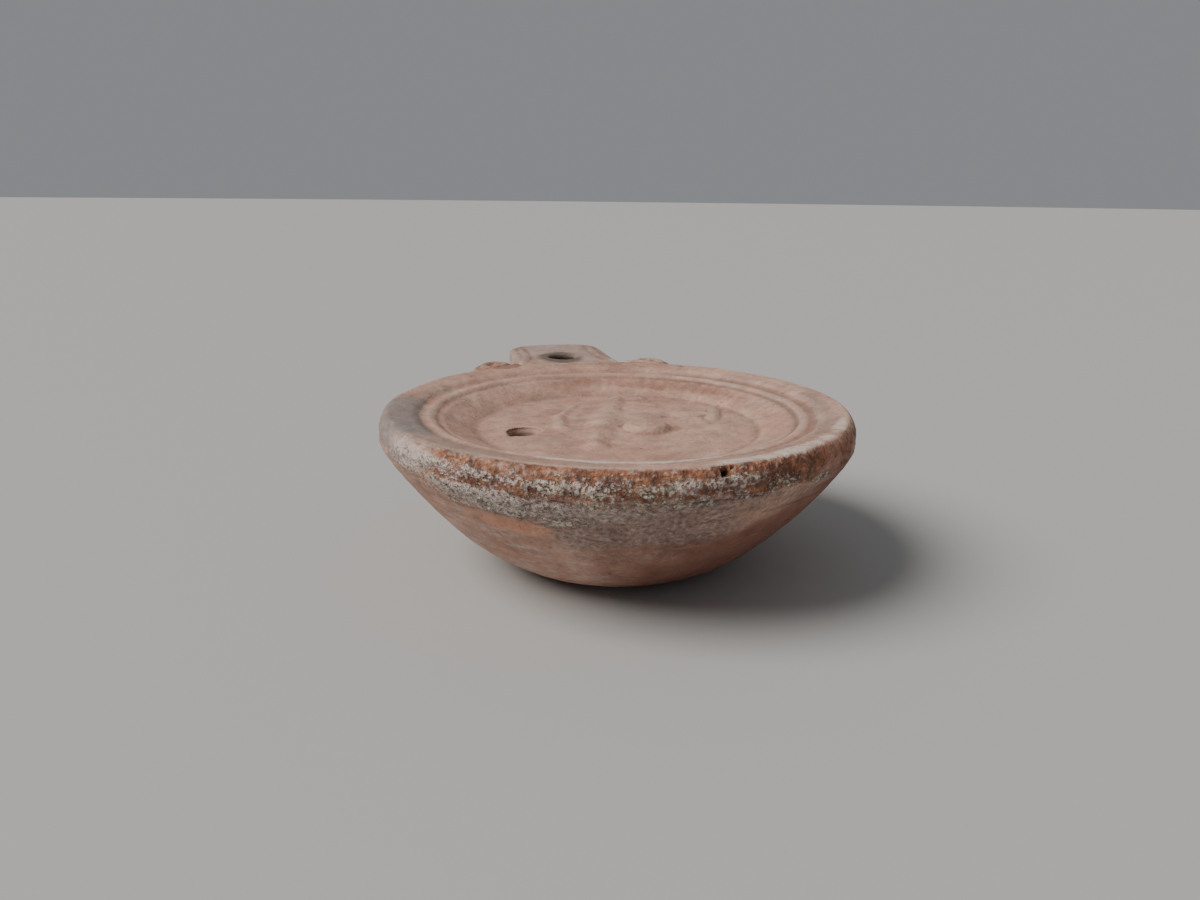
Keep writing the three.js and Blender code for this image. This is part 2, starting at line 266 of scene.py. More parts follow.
@dataclass
class LampBody:
    """The round body: a bowl below, and a shoulder, a ridge and a sunken disc above."""

    radius: float = BODY_RADIUS
    height: float = 25.7
    edge_drop: float = 4.2
    edge_rounding: float = 1.8
    base_radius: float = 13.0
    bowl_power: float = 0.57
    wall: float = 3.0
    field_radius: float = 23.4
    field_height: float = 21.7
    seam_wear: float = 1.6
    seam_rounds: int = 16
    columns: int = 100
    height_power: float = 1.6
    top_profile: tuple[tuple[float, float], ...] = (
        (0.0, 21.66), (15.0, 21.70), (21.9, 21.72), (23.1, 21.98), (24.2, 22.46), (26.5, 23.30),
        (28.3, 24.05), (29.3, 24.52), (30.9, 24.62), (31.7, 24.95), (33.0, 25.34), (34.8, 25.62),
        (36.2, 25.70),
    )
    top_grooves: tuple[Triple, ...] = (
        (22.6, 0.1, 0.65), (28.75, 0.2, 0.6), (31.35, 0.27, 0.65), (30.1, -0.08, 0.6),
    )
    top_bands: tuple[tuple[float, float, float, int], ...] = (
        (0.45, 5.0, 0.45, 1), (5.0, 11.0, 0.42, 2), (11.0, 22.2, 0.4, 4), (22.2, 29.6, 0.34, 4),
        (29.6, 36.2, 0.36, 4),
    )
    chamber_shoulder: tuple[tuple[float, float], ...] = ((35.1, 21.9), (34.6, 22.5), (31.3, 21.0))

    @property
    def edge_radius(self) -> float:
        """Radius where the shoulder starts to roll over."""
        return self.radius - self.edge_rounding

    @property
    def widest_height(self) -> float:
        """Height of the widest circle, where the two moulds met."""
        return self.height - self.edge_drop

    def top_height(self, radius: np.ndarray) -> np.ndarray:
        """Returns the height of the upper face at a distance from the axis.

        Args:
            radius: The distance or distances.

        Returns:
            A height for each distance.
        """
        radii, heights = zip(*self.top_profile)
        base = np.interp(radius, radii, heights)
        for middle, depth, spread in self.top_grooves:
            base = base - depth * bump(radius, middle, spread)
        return base

    def bowl_radius(self, height: np.ndarray) -> np.ndarray:
        """Returns the bowl's outer radius at a height.

        Args:
            height: The height or heights.

        Returns:
            A radius for each height.
        """
        share = np.clip(height / self.widest_height, 0.0, 1.0)
        return self.base_radius + (self.radius - self.base_radius) * share**self.bowl_power

    def _upper_rings(self) -> list[tuple[float, float, int]]:
        """Returns radius, height and columns of each ring from the middle of the disc over the edge.

        Returns:
            The rings in order.
        """
        rings = []
        for start, end, step, share in self.top_bands:
            for radius in np.linspace(start, end, round((end - start) / step), endpoint=False):
                height = float(self.top_height(np.array(radius)))
                rings.append((float(radius), height, self.columns * share))
        for turn in np.linspace(0.0, math.pi / 2, 12):
            radius = self.edge_radius + self.edge_rounding * math.sin(turn)
            rings.append((radius, self.widest_height + self.edge_drop * math.cos(turn), self.columns * 8))
        return rings

    def _lower_rings(self) -> list[tuple[float, float, int]]:
        """Returns radius, height and columns of each ring from under the widest circle to the base's middle.

        Returns:
            The rings in order.
        """
        rings = []
        for share in np.linspace(1.0, 0.0, 84)[1:]:
            height = self.widest_height * share**self.height_power
            radius = float(self.bowl_radius(np.array(height)))
            finer = 8 if height > 15.5 else 4 if radius > 24.0 else 2
            rings.append((radius, height, self.columns * finer))
        for radius in (12.4, 11.8, 11.2, 9.0, 6.0, 3.0):
            groove = 0.35 * float(bump(np.array(radius), 11.8, 0.4))
            rings.append((radius, groove, self.columns * 2))
        return rings

    def _profile(self) -> list[tuple[float, float, int]]:
        """Returns all the rings, with the corner at the widest circle worn round.

        Returns:
            Radius, height and columns of each ring.
        """
        rings = self._upper_rings() + self._lower_rings()
        line = np.array([ring[:2] for ring in rings])
        worn = bump(line[:, 1], self.widest_height, self.seam_wear) * (line[:, 0] > self.field_radius + 8.0)
        for _ in range(self.seam_rounds):
            middle = 0.5 * (np.roll(line, 1, axis=0) + np.roll(line, -1, axis=0))
            line += (0.5 * worn)[:, None] * (middle - line)
        return [(float(radius), float(height), ring[2]) for (radius, height), ring in zip(line, rings)]

    def build(self) -> bpy.types.Object:
        """Returns the closed outer form of the body.

        Returns:
            The form as an object.
        """
        shell = Shell("body_form")
        shell.point(self.field_height)
        for ring in self._profile():
            shell.circle(*ring)
        shell.point(0.0)
        return shell.build()

    def chamber(self) -> bpy.types.Object:
        """Returns the oil chamber, which follows the outside one wall further in.

        Returns:
            The hollow as an object.
        """
        shell = Shell("chamber_form")
        ceiling = self.field_height - self.wall
        columns = 96
        step = 0.05
        shell.point(self.wall)
        for share in np.linspace(0.0, 1.0, 20, endpoint=False):
            height = self.widest_height * share**self.height_power
            radius = float(self.bowl_radius(np.array(height)))
            rise = float(self.bowl_radius(np.array(height + step)) - radius)
            length = math.hypot(rise, step)
            inwards, upwards = self.wall * step / length, self.wall * rise / length
            shell.circle(radius - inwards, height + upwards, columns)
        for radius, height in (*self.chamber_shoulder, (self.field_radius, ceiling)):
            shell.circle(radius, height, columns)
        shell.point(ceiling)
        return shell.build()


@dataclass
class Nozzle:
    """The nozzle: flat on top, with rolled edges, a keel below and a blunt rounded tip."""

    top: float = 24.8
    tip_y: float = 64.5
    tip_length: float = 9.5
    tip_squareness: float = 3.4
    tip_lift: float = 0.6
    width: float = 20.6
    flare: float = 3.4
    flare_length: float = 26.5
    depth: float = 13.0
    keel_slope: float = 0.15
    keel_fullness: float = 0.8
    edge: float = 1.2
    root_top_y: float = 33.6
    root_slope: float = 0.62

    @property
    def tip_start(self) -> float:
        """Place along the nozzle where its tip starts to round."""
        return self.tip_y - self.tip_length

    def half_width(self, y: np.ndarray) -> np.ndarray:
        """Returns half the width at places along the nozzle."""
        share = np.clip((self.tip_start - y) / self.flare_length, 0.0, 1.0)
        return (self.width + self.flare * share**2) / 2.0

    def _level(
        self, inset: float, spread: float, drop: float, width: float, depth: float, fine: float
    ) -> np.ndarray:
        """Returns the loop of points of one level.

        Args:
            inset: How far the whole form is moved in.
            spread: Share of the flat top's width, 1 from its edge down.
            drop: How far the level has gone down over the rolled edge.
            width: Share of the width on the keel.
            depth: Share of the depth on the keel.
            fine: How many points there are to a millimetre along the side.

        Returns:
            Points from the +X root round the tip to the -X root.
        """
        pull = self.edge * (1.0 - math.sqrt(max(0.0, 1.0 - (1.0 - drop / self.edge) ** 2)))
        level_depth = drop + depth * (self.depth - 2.0 * inset)
        root = self.root_top_y - self.root_slope * (level_depth + inset)
        steps = round((self.tip_start - self.root_top_y) * fine)
        straight = np.linspace(root, self.tip_start, steps, endpoint=False)
        turn = np.linspace(0.0, math.pi / 2, round(self.tip_length * 2.6 * fine))
        power = 2.0 / self.tip_squareness
        half = np.concatenate([
            self.half_width(straight) - inset,
            (self.width / 2.0 - inset) * np.clip(np.cos(turn), 0.0, 1.0) ** power,
        ])
        half[-1] = 0.0
        beyond = np.concatenate([np.zeros(len(straight)), (self.tip_length - inset) * np.sin(turn) ** power])
        along = np.concatenate([straight, np.full(len(turn), self.tip_start)])
        full_depth = self.depth + self.keel_slope * np.maximum(0.0, self.tip_start - along) - 2.0 * inset
        shrink = width * (1.0 - pull / (self.width / 2.0)) * spread
        x = half * shrink
        reach = (1.0 - self.tip_lift * (1.0 - width)) * (1.0 - pull / self.tip_length) * spread
        y = along + beyond * reach
        z = self.top - inset - drop - (full_depth - drop) * depth
        side = np.column_stack([x, y, z])
        return np.vstack([side, side[-2::-1] * np.array([-1.0, 1.0, 1.0])])

    def build(self, inset: float = 0.0, fine: float = 2.4) -> bpy.types.Object:
        """Makes the closed form of the nozzle, or of the channel in it.

        Args:
            inset: How far the form is moved in.
            fine: How many points there are to a millimetre.

        Returns:
            The new object.
        """
        shell = Shell("nozzle_form")
        top_steps = round(self.width / 2.0 * fine)
        for step in range(top_steps):
            shell.ring(self._level(inset, step / top_steps, 0.0, 1.0, 0.0, fine))
        for turn in np.linspace(0.0, math.pi / 2, 5):
            shell.ring(self._level(inset, 1.0, self.edge * (1.0 - math.cos(turn)), 1.0, 0.0, fine))
        for turn in np.linspace(0.0, math.pi / 2, round(11 * fine))[1:]:
            width = max(0.0, math.cos(turn)) ** self.keel_fullness if turn < 1.57 else 0.0
            depth = math.sin(turn) ** self.keel_fullness
            shell.ring(self._level(inset, 1.0, self.edge, width, depth, fine))
        return shell.build()


@dataclass
class Volute:
    """One of the two scrolls beside the nozzle, with the stem that runs from it along the nozzle's edge."""

    side: int
    top: float = 24.8
    radius: float = 4.9
    depth: float = 8.0
    spread: float = 15.2
    overhang_radius: float = 39.6
    turns: float = 1.35
    stem_x: float = 7.75
    stem_end_y: float = 58.6
    band: float = 1.05
    rise: float = 0.42
    groove: float = 0.24
    swell: float = 0.8
    eye_radius: float = 1.15
    eye_height: float = 0.3
    scroll_steps: int = 46
    stem_steps: int = 24
    columns: int = 72
    knob_profile: tuple[tuple[float, float], ...] = (
        (0.97, 0.985), (0.99, 0.95), (1.0, 0.88), (1.0, 0.78),
        (0.95, 0.64), (0.85, 0.5), (0.66, 0.3), (0.45, 0.15),
    )

    @property
    def centre(self) -> np.ndarray:
        """Middle of the scroll, in plan."""
        return np.array([self.side * self.spread, math.sqrt(self.overhang_radius**2 - self.spread**2)])

    def build(self) -> bpy.types.Object:
        """Returns the closed knob that the scroll is drawn on.

        Returns:
            The knob as an object.
        """
        shell = Shell("volute_form")
        low = self.top - self.depth
        shell.point(self.top)
        flat_top = [(share * 0.92, 1.0) for share in np.linspace(0.06, 1.0, 15)]
        for wide, high in (*flat_top, *self.knob_profile):
            shell.circle(self.radius * wide, low + self.depth * high, self.columns)
        shell.point(low)
        made = shell.build()
        made.data.transform(Matrix.Translation((self.centre[0] * MM, self.centre[1] * MM, 0.0)))
        return made

    def path(self) -> np.ndarray:
        """Returns the middle line of stem and scroll, with how wide the band is at each point.

        Returns:
            Rows of x, y and half width, from the stem's end to the scroll's middle.
        """
        scroll = []
        for step in range(self.scroll_steps + 1):
            share = step / self.scroll_steps
            turn = math.pi + share * self.turns * 2.0 * math.pi
            radius = (self.radius - 1.0) * (1.0 - share) + 0.9 * share
            middle = [self.spread + radius * math.cos(turn), self.centre[1] + radius * math.sin(turn)]
            scroll.append([*middle, self.band * (1.0 - 0.45 * share)])
        stem = []
        start = np.array(scroll[0][:2])
        for share in np.linspace(0.0, 1.0, self.stem_steps, endpoint=False):
            y = self.stem_end_y + (start[1] - self.stem_end_y) * share
            x = self.stem_x + (start[0] - self.stem_x) * smooth(0.35, 1.0, np.array(share)) ** 1.4
            stem.append([float(x), float(y), self.band * (0.55 + 0.45 * min(1.0, share * 5.0))])
        line = np.array(stem + scroll)
        line[:, 0] *= self.side
        return line

    def relief(self, plan: np.ndarray) -> np.ndarray:
        """Returns how far the raised band and its two grooves lift or sink the points of a plan.

        Args:
            plan: Points in plan.

        Returns:
            A height for each point.
        """
        line = self.path()
        nearest = np.full(len(plan), 99.0)
        width = np.full(len(plan), self.band)
        for first, second in zip(line, line[1:]):
            span = second[:2] - first[:2]
            share = np.clip((plan - first[:2]) @ span / max(float(span @ span), 1e-9), 0.0, 1.0)
            distance = np.linalg.norm(plan - first[:2] - share[:, None] * span, axis=1)
            closer = distance < nearest
            nearest = np.where(closer, distance, nearest)
            width = np.where(closer, first[2] + (second[2] - first[2]) * share, width)
        away = np.linalg.norm(plan - self.centre, axis=1)
        on_scroll = smooth(self.radius + 1.6, self.radius - 0.4, away)
        band = np.clip(1.0 - (nearest / width) ** 2, 0.0, 1.0) ** 0.9
        lift = self.rise * (0.35 + 0.65 * on_scroll) * band
        sink = self.groove * (0.4 + 0.6 * on_scroll) * bump(nearest, 1.32 * width.mean(), 0.4)
        eye = self.eye_height * np.clip(1.0 - (away / self.eye_radius) ** 2, 0.0, 1.0)
        dome = self.swell * np.clip(1.0 - (away / self.radius) ** 2, 0.0, 1.0) ** 0.6
        return lift - sink * smooth(2.6, 1.6, nearest) + eye + dome


@dataclass
class FighterRelief:
    """The worn figure in the disc: a lunging fighter behind a round shield, with the feet to the nozzle.

    The pose is in shares of the field's radius.
    """

    field_radius: float = 23.4
    height: float = 0.76
    pose: dict[str, tuple[float, float]] = field(default_factory=lambda: {
        "head": (-0.26, -0.49), "neck": (-0.22, -0.33), "chest": (-0.2, -0.2), "waist": (-0.13, -0.02),
        "elbow": (-0.4, 0.02), "hand": (-0.35, 0.32), "blade": (-0.17, 0.64), "hip": (-0.08, 0.08),
        "front_knee": (0.39, 0.28), "front_heel": (0.72, 0.21), "front_sole": (0.72, 0.06),
        "front_toe": (0.83, 0.33), "back_knee": (0.08, 0.53), "back_heel": (0.21, 0.83),
        "back_toe": (0.39, 0.81),
        "hem_start": (0.29, 0.67), "hem_end": (0.44, 0.58), "shield": (0.19, -0.09),
    })
    limbs: tuple[tuple[str, str, float, float, float], ...] = (
        ("head", "head", 0.12, 0.12, 1.0), ("head", "neck", 0.06, 0.08, 0.7),
        ("neck", "chest", 0.11, 0.17, 0.85), ("chest", "waist", 0.17, 0.12, 0.95),
        ("waist", "hip", 0.12, 0.14, 0.9), ("neck", "elbow", 0.09, 0.065, 0.75),
        ("elbow", "hand", 0.065, 0.05, 0.65), ("hand", "hand", 0.07, 0.07, 0.7),
        ("hand", "blade", 0.04, 0.028, 0.5), ("hip", "front_knee", 0.13, 0.09, 0.9),
        ("front_knee", "front_heel", 0.095, 0.055, 0.75), ("front_sole", "front_toe", 0.06, 0.05, 0.6),
        ("hip", "back_knee", 0.14, 0.1, 0.9), ("back_knee", "back_heel", 0.1, 0.06, 0.8),
        ("back_heel", "back_toe", 0.06, 0.05, 0.6), ("hem_start", "hem_end", 0.045, 0.05, 0.45),
    )
    shield_radius: float = 0.155
    boss: float = 1.7
    boss_rim: float = 0.22
    worn_away: float = 0.55

    def lift(self, plan: np.ndarray, wear: np.ndarray) -> np.ndarray:
        """Raises the figure over the field.

        Args:
            plan: Points of the field in plan.
            wear: How much is rubbed away at each point, from 0 to 1.

        Returns:
            How far each point rises.
        """
        total = np.zeros(len(plan))
        places = plan / self.field_radius
        for start, end, wide, narrow, high in self.limbs:
            first = np.array(self.pose[start])
            span = np.array(self.pose[end]) - first
            share = np.clip((places - first) @ span / max(float(span @ span), 1e-9), 0.0, 1.0)
            half = wide + (narrow - wide) * share
            swell = 1.0 + 0.12 * np.sin(math.pi * share)
            distance = np.linalg.norm(places - first - share[:, None] * span, axis=1)
            distance /= half * swell
            mound = high * np.clip(1.0 - distance**2, 0.0, 1.0) ** 1.5
            total = np.maximum(total, mound) + 0.25 * np.minimum(total, mound)
        away = np.linalg.norm(places - np.array(self.pose["shield"]), axis=1) / self.shield_radius
        plate = self.boss * np.clip(1.0 - (away / 1.08) ** 2, 0.0, 1.0) ** 0.65
        plate += self.boss_rim * bump(away, 0.84, 0.14)
        figure = total * smooth(0.85, 1.25, away) * (1.0 - self.worn_away * wear)
        total = np.maximum(figure, plate)
        return total * self.height


@dataclass
class Hole:
    """A hole pressed through the upper wall, with a slightly ragged outline and a flared lip."""

    centre: tuple[float, float]
    radius: float
    top: float
    bottom: float
    flare: float = 0.5
    ragged: float = 0.07
    seed: int = 3
    # How dark the inside is painted: painted shade in the hole, with soot at the wick hole.
    shade_and_soot: float = 0.3
    columns: int = 72
    lip: tuple[tuple[float, float], ...] = (
        (1.5, 1.6), (0.1, 1.0), (-0.2, 0.5), (-0.6, 0.16), (-1.1, 0.0), (-1.9, 0.0),
    )

    def build(self) -> bpy.types.Object:
        """Returns the closed form that is taken out of the lamp.

        Returns:
            The form as an object.
        """
        shell = Shell("hole_form")
        turn = np.arange(self.columns) * (2.0 * math.pi / self.columns)
        circle = np.column_stack([np.cos(turn), np.sin(turn), np.zeros(self.columns)])
        outline = self.radius * (1.0 + self.ragged * ClayNoise(self.seed).layered(circle, 0.9, 2))
        middle = np.array([*self.centre, 0.0])
        levels = [(self.top + rise, self.flare * wider) for rise, wider in self.lip]
        levels.append((self.bottom, 0.0))
        shell.point(levels[0][0], *self.centre)
        for height, wider in levels:
            level = circle * (outline + wider)[:, None] + middle
            level[:, 2] = height
            shell.ring(level)
        shell.point(self.bottom, *self.centre)
        return shell.build()


@dataclass(frozen=True)
class Pit:
    """A small hole or chip in the skin: where it is, how wide, how deep and how ragged."""

    place: Triple
    radius: float
    depth: float
    ragged: float = 0.25
    lip: float = 0.0

    @property
    def darkness(self) -> float:
        """How dark it is painted, from 0 to 1, as painted shade in the pit: small deep pits the most."""
        return min(1.0, max(0.0, 1.6 * self.depth - 0.1)) if self.radius < 0.9 else 0.0


@dataclass(frozen=True)
class Patch:
    """A patch of crust, stain, wear, painted shade or painted light, as an ellipse round the axis.

    The bearing is in degrees from +X. The level is a height on the side and a distance from the axis on top.
    """

    bearing: float
    level: float
    half_turn: float
    half_level: float
    strength: float = 1.0

    def cover(self, bearings: np.ndarray, levels: np.ndarray, ragged: np.ndarray) -> np.ndarray:
        """Returns how much of the patch lies on each point.

        Args:
            bearings: The points' bearings in degrees.
            levels: Their heights, or distances from the axis.
            ragged: Noise that shifts the patch's outline.

        Returns:
            Shares from 0 to the patch's strength.
        """
        turn = turned_from(self.bearing, bearings)
        away = np.hypot(turn / self.half_turn, (levels - self.level) / self.half_level)
        return self.strength * smooth(1.25, 0.6, away + 0.45 * ragged)


def on_side(bearing: float, height: float) -> Triple:
    """Returns the place on the outside, below the shoulder's top, at a bearing in degrees and a height.

    Args:
        bearing: Degrees from +X.
        height: Height over the base.

    Returns:
        The place.
    """
    body = LampBody()
    if height > body.widest_height:
        share = (height - body.widest_height) / body.edge_drop
        radius = body.edge_radius + body.edge_rounding * math.sqrt(max(0.0, 1.0 - share**2))
    else:
        radius = float(body.bowl_radius(np.array(height)))
    turn = math.radians(bearing)
    return (radius * math.cos(turn), radius * math.sin(turn), height)


def on_top(bearing: float, radius: float) -> Triple:
    """Returns the place on the upper face at a bearing in degrees and a distance from the axis.

    Args:
        bearing: Degrees from +X.
        radius: Distance from the axis.

    Returns:
        The place.
    """
    turn = math.radians(bearing)
    height = float(LampBody().top_height(np.array(radius)))
    return (radius * math.cos(turn), radius * math.sin(turn), height)


def patches_from(*rows: tuple[float, ...]) -> tuple[Patch, ...]:
    """Returns patches from rows of bearing, level, half turn, half level and strength."""
    return tuple(Patch(*row) for row in rows)


CRUST = patches_from(
    (248.0, 22.3, 50.0, 3.0, 0.42), (230.0, 20.0, 22.0, 2.2, 0.55),
    (207.0, 23.3, 4.0, 0.6, 0.5), (217.5, 23.9, 6.0, 0.8, 0.85), (227.0, 23.6, 7.0, 0.8, 0.85),
    (236.0, 23.6, 6.0, 0.8, 0.75), (243.5, 23.3, 8.0, 1.0, 0.85), (254.0, 23.0, 4.5, 1.1, 1.0),
    (264.0, 23.0, 8.0, 0.8, 0.7), (271.0, 23.3, 7.0, 0.8, 0.85), (279.0, 23.7, 8.0, 0.9, 0.95),
    (221.0, 21.2, 7.5, 1.2, 0.95), (231.0, 20.4, 10.0, 1.6, 0.95), (242.0, 20.3, 9.0, 1.3, 0.8),
    (252.0, 20.6, 9.0, 1.1, 0.7), (232.0, 18.8, 9.0, 1.2, 0.75), (264.0, 20.8, 12.0, 0.9, 0.65),
    (277.0, 21.0, 8.0, 0.5, 0.45), (246.0, 18.2, 9.0, 1.3, 0.5), (209.0, 21.8, 6.0, 0.9, 0.4),
    (291.0, 22.6, 8.0, 0.4, 0.4), (304.0, 21.4, 9.0, 0.35, 0.4), (200.0, 22.6, 5.0, 1.0, 0.4),
    (96.0, 18.0, 10.0, 1.4, 0.6), (40.0, 20.6, 12.0, 1.1, 0.5), (150.0, 19.4, 13.0, 1.5, 0.6),
    (15.0, 15.0, 8.0, 1.5, 0.4), (130.0, 22.9, 9.0, 0.6, 0.6), (352.0, 23.2, 9.0, 0.6, 0.5),
)
GRANULAR = patches_from(
    (251.0, 16.8, 12.0, 4.2, 0.85), (270.0, 17.0, 18.0, 4.6, 0.8), (236.0, 18.6, 10.0, 1.8, 0.5),
    (290.0, 19.5, 14.0, 2.2, 0.4), (262.0, 11.5, 16.0, 2.0, 0.3),
)
ORANGE = patches_from(
    (233.5, 15.9, 9.5, 1.5, 0.9), (262.0, 10.5, 9.0, 1.2, 0.2), (305.0, 17.5, 9.0, 2.0, 0.3),
)
GREY = patches_from((182.0, 33.7, 24.0, 5.2, 1.0), (160.0, 32.5, 16.0, 2.2, 0.45))
SMUDGE = patches_from(
    (214.0, 34.6, 26.0, 3.0, 0.9), (240.0, 34.4, 18.0, 2.2, 0.6), (332.0, 33.4, 34.0, 2.2, 0.75),
    (276.0, 33.4, 20.0, 1.2, 0.5), (300.0, 33.2, 16.0, 1.4, 0.6),
)
PALE_WEAR_AND_HIGHLIGHT = patches_from(
    # The first patch is a painted highlight along the top of the ridge at the front. The rest is pale rubbed
    # wear on the shoulder.
    (256.0, 30.1, 36.0, 0.55, 1.0), (297.0, 35.8, 22.0, 1.2, 0.75), (322.0, 35.6, 14.0, 0.9, 0.6),
    (262.0, 33.2, 14.0, 0.8, 0.4),
)
STAIN = patches_from(
    (62.0, 27.0, 46.0, 2.4, 0.5), (70.0, 34.6, 22.0, 3.0, 0.4), (100.0, 23.0, 24.0, 6.0, 0.3),
    (237.0, 12.3, 16.0, 2.0, 0.5), (127.0, 14.1, 16.0, 2.4, 0.45), (98.0, 11.0, 12.0, 4.0, 0.4),
    (86.0, 17.5, 8.0, 3.0, 0.45), (343.0, 9.9, 15.0, 0.8, 0.6), (20.0, 17.0, 12.0, 1.6, 0.4),
)
BLOOM_AND_LIT_PATCH = patches_from(
    # The first patch is painted light: it makes the lit lower left of the bowl lighter and pinker. The rest
    # is lilac lime bloom.
    (220.0, 9.0, 36.0, 7.5, 0.32), (221.0, 20.9, 8.0, 1.1, 1.0),
    (232.0, 19.9, 10.0, 1.7, 1.0), (243.0, 19.6, 8.0, 1.1, 0.7),
    (203.0, 23.6, 13.0, 2.0, 0.85), (218.0, 23.9, 6.0, 0.8, 0.7), (256.0, 19.6, 12.0, 1.0, 0.5),
    (100.0, 17.5, 14.0, 2.0, 0.5), (145.0, 18.6, 12.0, 2.0, 0.5), (30.0, 19.6, 14.0, 1.6, 0.4),
)
GRIME_AND_GROOVE_SHADE = patches_from(
    # Mostly painted shade in the grooves beside the disc's rings, where the steps cast shade, with some
    # grime.
    (112.0, 22.8, 16.0, 0.8, 0.9), (88.0, 29.2, 24.0, 0.7, 0.5), (152.0, 22.4, 10.0, 0.6, 0.5),
    (345.0, 28.6, 32.0, 0.7, 0.8), (350.0, 22.8, 30.0, 0.6, 0.5), (205.0, 12.0, 26.0, 2.4, 0.25),
)
PITS = (
    Pit(on_side(278.0, 24.9), 0.75, 1.5, 0.25, 0.05), Pit(on_side(279.6, 25.3), 0.32, 0.5),
    Pit(on_side(259.8, 24.3), 0.42, 0.3, 0.2, 0.14), Pit(on_side(228.5, 19.3), 0.8, 0.7, 0.4, 0.25),
    Pit(on_side(232.5, 23.6), 0.45, 0.35), Pit(on_side(243.0, 22.9), 0.5, 0.4, 0.3, 0.08),
    Pit(on_side(212.0, 22.6), 0.55, 0.4), Pit(on_side(308.2, 13.4), 0.5, -0.5, 0.2),
    Pit(on_side(191.5, 25.0), 1.5, 0.5, 0.4), Pit((-17.5, -2.4, 21.8), 0.9, 0.3, 0.3),
    Pit(on_side(236.0, 21.6), 0.6, 0.3, 0.4), Pit(on_side(249.0, 21.7), 0.5, 0.3, 0.4),
    Pit(on_side(205.0, 24.4), 0.9, 0.25, 0.5), Pit(on_side(338.0, 22.0), 1.1, 0.3, 0.5),
    Pit(on_side(120.0, 22.6), 1.2, 0.35, 0.5), Pit(on_top(55.0, 35.6), 0.9, 0.25, 0.5),
    Pit(on_side(24.0, 23.8), 0.8, 0.3, 0.5), Pit((3.0, 12.0, 21.7), 0.6, 0.15, 0.5),
)
SCAR_HEIGHT = 21.3
SCRAPES = ((22.6, 0.14), (SCAR_HEIGHT, 0.3), (19.6, 0.07), (17.7, 0.1), (15.4, 0.07))
BODY_LIMIT = (39.2, 38.6)
UNDERSIDE_LIMIT = (17.5, 19.0)
PAINT_SEED = 23
SHAPE_SEED = 7
NOZZLE_BEARING = 90.0
# Bearing of the shaded right side, where the painted shade low on the bowl climbs highest.
DARKEST_BEARING = 300.0
TONGUES_BEARING = 55.0
# Bearing where the hollows are darkened most with dirt and painted shade, on the side away from the key
# light.
DIRT_AND_SHADE_BEARING = 345.0


class Ground(Enum):
    """A part of the surface that a coat may lie on."""

    SIDE = "side"
    RIM = "rim"
    SHOULDER = "shoulder"
    UPPER = "upper"


@dataclass(frozen=True)
class Coat:
    """One kind of crust, stain, wear, painted shade or painted light: its patches, its ground and the waves
    in its outlines.

    On the side the patches are placed by height, and on the other grounds by distance from the axis.
    """

    patches: tuple[Patch, ...]
    ground: Ground
    wave: float
    seed: int
    strength: float = 1.0


COATS = {
    "crust": Coat(CRUST, Ground.SIDE, 2.2, 5, 0.96),
    "granular": Coat(GRANULAR, Ground.SIDE, 5.0, 11),
    "orange": Coat(ORANGE, Ground.SIDE, 5.0, 17),
    "grey": Coat(GREY, Ground.RIM, 5.0, 29),
    "smudge": Coat(SMUDGE, Ground.SHOULDER, 4.0, 31),
    "bloom_and_painted_light": Coat(BLOOM_AND_LIT_PATCH, Ground.SIDE, 3.0, 43),
    "grime_and_groove_shade": Coat(GRIME_AND_GROOVE_SHADE, Ground.UPPER, 3.0, 47),
    "pale": Coat(PALE_WEAR_AND_HIGHLIGHT, Ground.SHOULDER, 3.0, 37),
    "stain": Coat(STAIN, Ground.UPPER, 6.0, 41),
}


